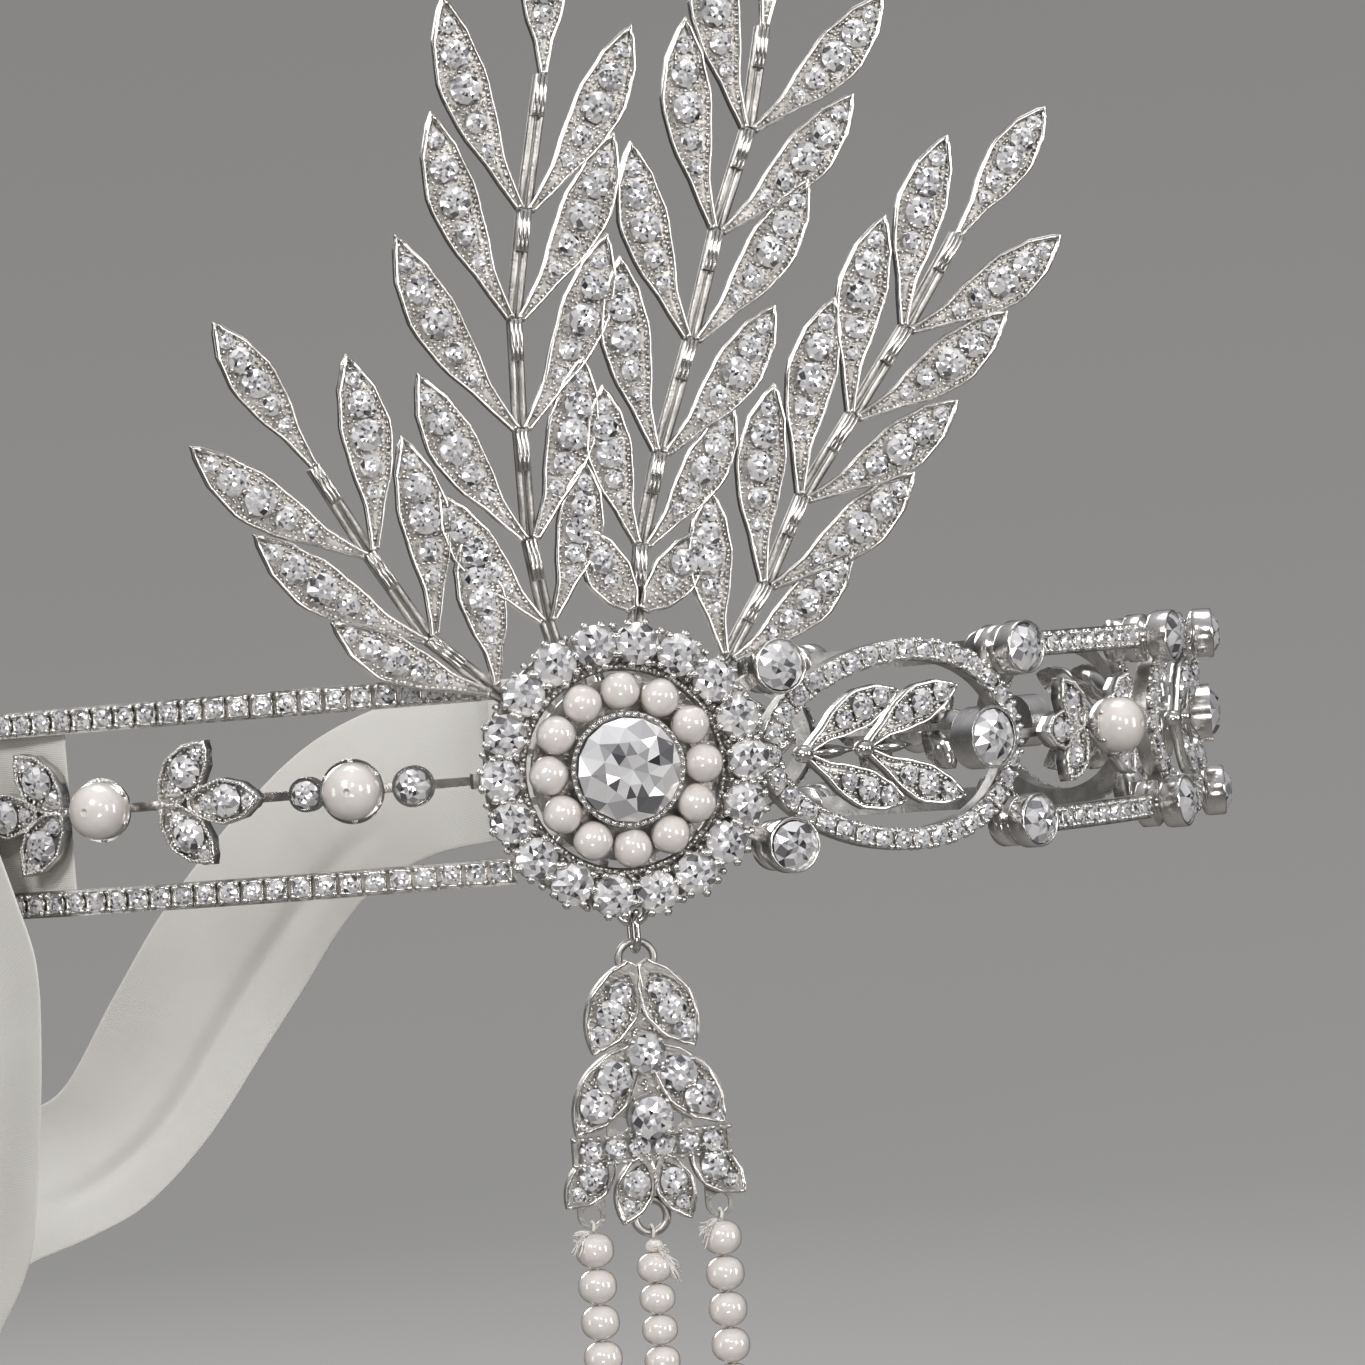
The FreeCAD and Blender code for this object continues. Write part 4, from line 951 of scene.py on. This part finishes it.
def make_pearls():
    fixed = Collector()
    for theta in PEARL_ANGLES:
        fixed.add(pearl(6.2 * MM), band_frame(theta, 0, 0, 4.0 * MM))
    fixed.piece("panel_pearls", [PEARL], "band", ["band_pearls"], "pearl")
    ring = Collector()
    tie = Collector()
    for i in range(12):
        angle = math.radians(90 + 30 * i)
        at = band_frame(0) @ round_axis(PEARL_RING_R, angle, 4.05 * MM)
        lean = Matrix.Rotation(math.radians(90), 4, "Y") @ Matrix.Rotation(rng.uniform(0, 6), 4, "X")
        ring.add(pearl(4.1 * MM), at @ Matrix.Rotation(angle + math.pi / 2, 4, "Z") @ lean)
        for step in (0.42, 0.58):
            place = band_frame(0) @ round_axis(PEARL_RING_R, math.radians(90 + 30 * (i + step)), 3.2 * MM)
            tie.add(BEAD, place @ Matrix.Scale(0.42 * MM, 4))
    ring.piece("medallion_ring_pearls", [PEARL], "band", ["medallion_pearls"], "pearl")
    tie.piece("medallion_ring_grains", [SILVER], "band", (), "rhodium_metal")


def hair(points, radius, segments=5):
    """Template of a thin round tube along points."""
    turns = [2 * math.pi * i / segments for i in range(segments)]
    ring = [(math.cos(turn), math.sin(turn)) for turn in turns]
    line = [Vector(p) for p in points]
    placed = []
    faces = []
    for row, point in enumerate(line):
        ahead = (line[min(row + 1, len(line) - 1)] - line[max(row - 1, 0)]).normalized()
        side = ahead.orthogonal().normalized()
        up = ahead.cross(side)
        thin = radius * (1 - 0.55 * row / (len(line) - 1))
        placed += [tuple(point + side * (thin * x) + up * (thin * y)) for x, y in ring]
    for low in range(0, (len(line) - 1) * segments, segments):
        for i in range(segments):
            j = (i + 1) % segments
            faces.append((low + i, low + j, low + segments + j, low + segments + i))
    faces.append(tuple(reversed(range(segments))))
    faces.append(tuple(range((len(line) - 1) * segments, len(line) * segments)))
    return np.array(placed, float), faces


def tuft(work, root, direction, length, count, fan):
    """Frayed thread ends that spring from a knot."""
    for _ in range(count):
        lean = Vector([rng.gauss(0, fan) for _ in range(3)])
        heading = (Vector(direction) + lean).normalized()
        droop = rng.uniform(0.1, 0.7)
        reach = length * rng.uniform(0.6, 1.05)
        points = []
        for step in range(6):
            t = step / 5
            wave = Vector([rng.gauss(0, 0.03) for _ in range(3)]) * reach * t
            points.append(Vector(root) + heading * (reach * t) - UP * (reach * droop * t * t) + wave)
        work.add(hair(points, 0.15 * MM), Matrix())


def loop_thread(work, centre, radius, thread):
    """Thread loop round an eye's lower rim, in the plane across the front."""
    turns = []
    for i in range(25):
        angle = 2 * math.pi * i / 24
        turns.append((centre[0] + 0.04 * MM * math.sin(3 * angle), centre[1] + radius * math.cos(angle),
                      centre[2] + radius * math.sin(angle)))
    count = len(turns)
    points, faces = hair(turns, thread)
    rings = points.reshape(count, 5, 3)
    middle = np.array(turns)[:, None, :]
    away = rings - middle
    size = np.linalg.norm(away, axis=2, keepdims=True)
    points = (middle + away / size * thread).reshape(-1, 3)
    work.add((points, faces), Matrix())


def make_strand(name, x, pivot, loop_r, first, pattern, tuft_side):
    diameter, pitch, count = pattern
    body = f"strand_{name}"
    squash = (pitch - 0.06 * MM) / diameter
    beads = Collector()
    template = pearl(diameter, squash)
    for i in range(count):
        turn = Matrix.Rotation(rng.uniform(0, 6), 4, "Z")
        beads.add(template, Matrix.Translation((x, STRAND_Y, first - i * pitch)) @ turn)
    pearls = beads.piece(f"strand_{name}_beads", [PEARL], body, [f"strand_{name}_pearls"], "pearl")
    ends = Collector()
    loop_thread(ends, (x, STRAND_Y, pivot), loop_r, 0.18 * MM)
    top = first + diameter * squash / 2
    root = (x + tuft_side * 0.5 * MM, STRAND_Y - 0.3 * MM, top + 0.1 * MM)
    if name == "middle":
        knot = Matrix.Translation((x + 0.1 * MM, STRAND_Y, (pivot - loop_r + top) / 2))
        ends.add(ball(12, 8), knot @ Matrix.Diagonal((0.95 * MM, 0.7 * MM, 0.75 * MM, 1)))
        tuft(ends, root, (0.9, -0.5, -0.9), 2.8 * MM, 34, 0.20)
        tuft(ends, root, (0.3, -0.8, 0.8), 1.6 * MM, 20, 0.45)
    else:
        tuft(ends, root, (-1.0, -0.75, -0.05), 2.6 * MM, 36, 0.17)
    last = first - (count - 0.5) * pitch
    lower = Matrix.Translation((x, STRAND_Y, last - 0.85 * MM))
    ends.add(ball(14, 10), lower @ Matrix.Diagonal((0.75 * MM, 0.75 * MM, 0.7 * MM, 1)))
    frayed = ends.piece(f"strand_{name}_ends", [THREAD], body, (), "white_thread")
    bottom = last - 3.1 * MM
    start = pivot - loop_r
    data = bpy.data.curves.new(f"strand_{name}_cord", "CURVE")
    data.dimensions = "3D"
    spline = data.splines.new("NURBS")
    stations = 12
    spline.points.add(stations - 1)
    for i in range(stations):
        t = i / (stations - 1)
        spline.points[i].co = (x, STRAND_Y, start + (bottom - start) * t, 1)
    spline.order_u = 3
    spline.use_endpoint_u = True
    data.bevel_depth = THREAD_DIA / 2
    data.bevel_resolution = 3
    data.use_fill_caps = True
    data.materials.append(THREAD)
    cord = new_object(f"strand_{name}_cord", data)
    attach(cord, body)
    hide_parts(f"strand_{name}_thread")


# ---- ribbons

NEAR_BAR = -50.8
FAR_BAR = 163.9
RIBBON_WIDTH = 22.0
# left edge and right edge of the near ribbon as it hangs: along, up, outwards in mm
NEAR_EDGES = (
    ((14.0, -11.0, -1.45), (14.0, 11.0, -1.45)),
    ((7.0, -11.0, -1.45), (7.0, 11.0, -1.45)),
    ((0.4, -11.0, -1.42), (0.4, 11.0, -1.42)),
    ((-1.1, -11.0, -1.0), (-1.1, 11.0, -1.0)),
    ((-1.5, -11.0, 0.0), (-1.45, 10.9, 0.0)),
    ((-1.6, -11.3, 1.1), (-0.7, 10.2, 1.15)),
    ((-2.6, -12.4, 1.9), (2.0, 7.0, 2.3)),
    ((-4.6, -15.0, 2.9), (6.4, -0.5, 3.6)),
    ((-6.6, -19.0, 3.9), (11.2, -9.4, 4.7)),
    ((-8.0, -24.5, 4.8), (14.0, -16.0, 5.3)),
    ((-9.2, -31.5, 5.2), (13.9, -25.0, 5.4)),
    ((-11.6, -40.0, 5.1), (12.3, -36.0, 5.3)),
    ((-15.2, -47.5, 5.0), (9.4, -47.5, 5.2)),
    ((-21.0, -56.0, 4.8), (2.4, -57.0, 5.0)),
    ((-27.6, -67.5, 4.5), (-7.0, -68.5, 4.7)),
    ((-32.6, -83.0, 4.2), (-11.4, -84.0, 4.4)),
    ((-35.0, -104.0, 4.0), (-13.2, -105.0, 4.2)),
    ((-35.8, -135.0, 4.0), (-13.9, -135.0, 4.2)),
    ((-36.0, -175.0, 4.0), (-14.0, -175.0, 4.0)),
    ((-36.0, -213.5, 4.0), (-14.0, -214.5, 4.0)))
FAR_EDGES = (               # lower edge and upper edge of the far ribbon, from inside its bar
    ((8.0, -11.0, -1.40), (8.0, 11.0, -1.40)),
    ((0.6, -11.0, -1.40), (0.6, 11.0, -1.40)),
    ((-1.0, -11.0, -1.0), (-1.0, 11.0, -1.0)),
    ((-1.45, -11.0, 0.0), (-1.45, 11.0, 0.0)),
    ((-1.0, -11.0, 1.05), (-1.0, 11.0, 1.05)),
    ((0.8, -11.0, 1.45), (0.8, 11.0, 1.45)),
    ((8.0, -11.2, 0.9), (9.5, 10.9, 1.0)),
    ((17.0, -12.4, 0.3), (21.0, 9.2, 0.5)),
    ((25.0, -16.0, 0.9), (33.0, 4.4, 0.4)),
    ((31.0, -21.5, 2.3), (44.0, -4.6, 0.5)),
    ((37.0, -29.5, 3.3), (55.0, -16.5, 0.8)),
    ((43.5, -38.0, 3.4), (63.5, -28.5, 1.2)),
    ((52.1, -49.3, 3.0), (71.5, -40.5, 1.8)),
    ((61.5, -58.0, 2.8), (77.8, -43.8, 2.2)),
    ((70.5, -62.2, 2.6), (86.5, -46.8, 2.4)),
    ((79.5, -65.6, 2.6), (95.5, -51.0, 2.4)),
    ((86.0, -72.0, 2.4), (104.0, -59.5, 2.4)),
    ((89.3, -82.5, 2.2), (109.2, -74.5, 2.2)),
    ((90.0, -97.5, 2.0), (111.8, -95.0, 2.1)),
    ((90.0, -125.0, 2.0), (112.0, -124.0, 2.0)),
    ((90.0, -155.0, 2.0), (112.0, -155.0, 2.0)),
    ((90.0, -184.5, 2.0), (112.0, -184.8, 2.0)))


def smooth_line(points, count):
    """Points spread along a smooth curve through the given ones."""
    line = np.array(points, float)
    padded = np.vstack([2 * line[0] - line[1], line, 2 * line[-1] - line[-2]])
    found = []
    for i in range(len(line) - 1):
        a, b, c, d = padded[i:i + 4]
        for step in range(count):
            t = step / count
            found.append(0.5 * (2 * b + (c - a) * t + (2 * a - 5 * b + 4 * c - d) * t * t
                                + (3 * b - a - 3 * c + d) * t ** 3))
    found.append(line[-1])
    return np.array(found)


def ribbon(name, theta, edges, swell, crease):
    """Woven strip between two edge lines, folded lengthwise. Returns it and its length."""
    left = smooth_line([a for a, _ in edges], 9)
    right = smooth_line([b for _, b in edges], 9)
    across = 28
    steps = np.linalg.norm(np.diff((left + right) / 2, axis=0), axis=1)
    travelled = np.concatenate([[0], np.cumsum(steps)])
    points = []
    weave = []
    for row in range(len(left)):
        ahead = (left + right)[min(row + 1, len(left) - 1)] - (left + right)[max(row - 1, 0)]
        normal = np.cross(right[row] - left[row], ahead)
        normal = normal / max(np.linalg.norm(normal), 1e-9)
        depth = swell(travelled[row])
        for k in range(across + 1):
            t = k / across
            fold = depth * crease(t, travelled[row])
            points.append(left[row] + (right[row] - left[row]) * t + normal * fold)
            weave.append((t, travelled[row] / RIBBON_WIDTH))
    faces = []
    for row in range(len(left) - 1):
        for k in range(across):
            a = row * (across + 1) + k
            faces.append((a, a + 1, a + across + 2, a + across + 1))
    turn = band_frame(theta)
    placed = np.array(points) * MM @ np.array(turn.to_3x3()).T + np.array(turn.translation)
    mesh = bpy.data.meshes.new(name)
    mesh.from_pydata(placed.tolist(), [], faces)
    mesh.polygons.foreach_set("use_smooth", [True] * len(faces))
    layer = mesh.uv_layers.new(name="weave")
    corners = np.array([weave[i] for face in faces for i in face], np.float32)
    layer.data.foreach_set("uv", corners.ravel())
    mesh.materials.append(SATIN)
    mesh.update()
    piece = new_object(name, mesh)
    thickness = piece.modifiers.new("thickness", "SOLIDIFY")
    thickness.thickness = 0.22 * MM
    thickness.offset = 0
    rounding = piece.modifiers.new("rounding", "SUBSURF")
    rounding.levels = 1
    rounding.render_levels = 1
    return piece, float(travelled[-1])


def make_ribbons():
    def ease(x, low, high):
        t = min(1.0, max(0.0, (x - low) / (high - low)))
        return t * t * (3 - 2 * t)

    near, length = ribbon(
        "near_ribbon", NEAR_BAR, NEAR_EDGES,
        lambda s: ease(s, 24, 60),
        lambda t, s: 0.9 * math.sin(math.pi * t) * math.sin(s / 23.0)
            + 0.35 * math.sin(3 * math.pi * t + s / 30.0))
    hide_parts("ribbon_near_fold", "ribbon_near")
    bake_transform(near)
    far, length = ribbon(
        "far_ribbon", FAR_BAR, FAR_EDGES,
        lambda s: ease(s, 16, 50),
        lambda t, s: (1.6 * math.sin(math.pi * t) * math.sin(s / 19.0)
                      - 1.5 * math.exp(-((t - 0.30) / 0.07) ** 2) * ease(s, 34, 60) * (1 - ease(s, 85, 120))))
    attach(far, "ribbon_far")
    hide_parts("ribbon_far")


# ---- finishes of the castings

ROUGH_NODES = ("medallion_plate", "tassel_plate", "rear_rails", *[f"spray_{i}_stem" for i in range(1, 5)],
               *[f"oval_frame_{i}" for i in range(1, 5)], *[f"pearl_panel_rails_{i}" for i in range(1, 4)])


def finish_nodes():
    for name, node in NODES.items():
        if node.hide_render:
            continue
        material = CASTING if name in ROUGH_NODES else SILVER
        if name.endswith("_pearls"):
            material = PEARL
        if len(node.material_slots) == 0:
            node.data.materials.append(material)
        for holder in node.material_slots:
            holder.material = material


# ---- studio

FLOOR = CAD_BOX[0].z - 6 * MM


def backdrop_material():
    material, tree, base = shader("backdrop")
    wire(tree, base, {"Base Color": (0.30, 0.295, 0.29, 1), "Roughness": 0.9,
                      "Emission Color": (0.80, 0.79, 0.77, 1), "Emission Strength": 0.16})
    return material


def make_backdrop():
    """Round floor that sweeps up into a wall on all sides."""
    profile = [(0, 0), (0.6, 0), (1.6, 0)]
    for i in range(1, 13):
        angle = math.radians(7.5 * i)
        profile.append((1.6 + 0.8 * math.sin(angle), 0.8 - 0.8 * math.cos(angle)))
    profile.append((2.4, 3.0))
    work = Collector()
    points, faces = lathe(profile, 64)
    work.add((points, [tuple(reversed(face)) for face in faces]), Matrix.Translation((0, 0, FLOOR)))
    cove = work.piece("backdrop", [backdrop_material()], None)
    cove.visible_glossy = False
    cove.visible_diffuse = False


def area_light(name, place, target, size, power, colour=(1, 1, 1)):
    data = bpy.data.lights.new(name, "AREA")
    data.shape = "RECTANGLE"
    data.size, data.size_y = size
    data.energy = power
    data.color = colour
    light = new_object(name, data)
    aim = Vector(target) - Vector(place)
    light.matrix_world = Matrix.Translation(place) @ aim.to_track_quat("-Z", "Y").to_matrix().to_4x4()
    light.visible_camera = False


def make_world():
    world = bpy.data.worlds.new("studio")
    scene.world = world
    world.use_nodes = True
    tree = world.node_tree
    base = tree.nodes["Background"]
    coordinates = add_node(tree, "ShaderNodeTexCoord")
    parts = add_node(tree, "ShaderNodeSeparateXYZ")
    tree.links.new(coordinates.outputs["Generated"], parts.inputs[0])
    height = add_node(tree, "ShaderNodeMapRange", {"From Min": -1.0, "Value": parts.outputs["Z"]})
    sky = ramp(tree, height.outputs[0], (
        (0.00, (0.30, 0.29, 0.28)),
        (0.34, (0.13, 0.125, 0.12)),
        (0.52, (0.05, 0.05, 0.05)),
        (0.66, (0.16, 0.16, 0.165)),
        (1.00, (0.62, 0.62, 0.64))))
    wire(tree, base, {"Color": sky, "Strength": 1.0})


def make_lights():
    area_light("key", (-0.75, -1.05, 0.75), (0.02, -0.05, 0), (0.40, 0.34), 8.6, (1.0, 0.985, 0.96))
    area_light("front", (0.55, -1.35, 0.25), (0.03, -0.05, 0), (0.22, 0.45), 3.4, (1.0, 0.97, 0.95))
    area_light("side", (1.15, -0.75, 0.10), (0.06, -0.03, 0), (0.22, 0.60), 4.5)
    area_light("top", (0.10, 0.10, 1.25), (0, 0, 0), (0.70, 0.70), 5)
    area_light("back", (-0.35, 1.20, 0.55), (0, 0, 0), (0.70, 0.45), 5)
    area_light("left", (-1.25, -0.35, 0.05), (-0.05, -0.03, -0.03), (0.30, 0.50), 1.6)
    area_light("low", (-0.16, -0.85, -0.22), (0, -0.06, 0), (0.20, 0.10), 0.9, (1.0, 0.95, 0.93))
    area_light("spark", (-0.10, -1.05, 0.42), (0, -0.06, 0), (0.14, 0.10), 1.5, (1.0, 0.98, 0.96))


make_sprays()
make_sprigs()
make_trefoils()
make_settings()
make_tassel()
make_pearls()
for strand in STRANDS:
    make_strand(*strand)
make_ribbons()
finish_nodes()
make_backdrop()
make_world()
make_lights()
scene.view_settings.view_transform = "Standard"
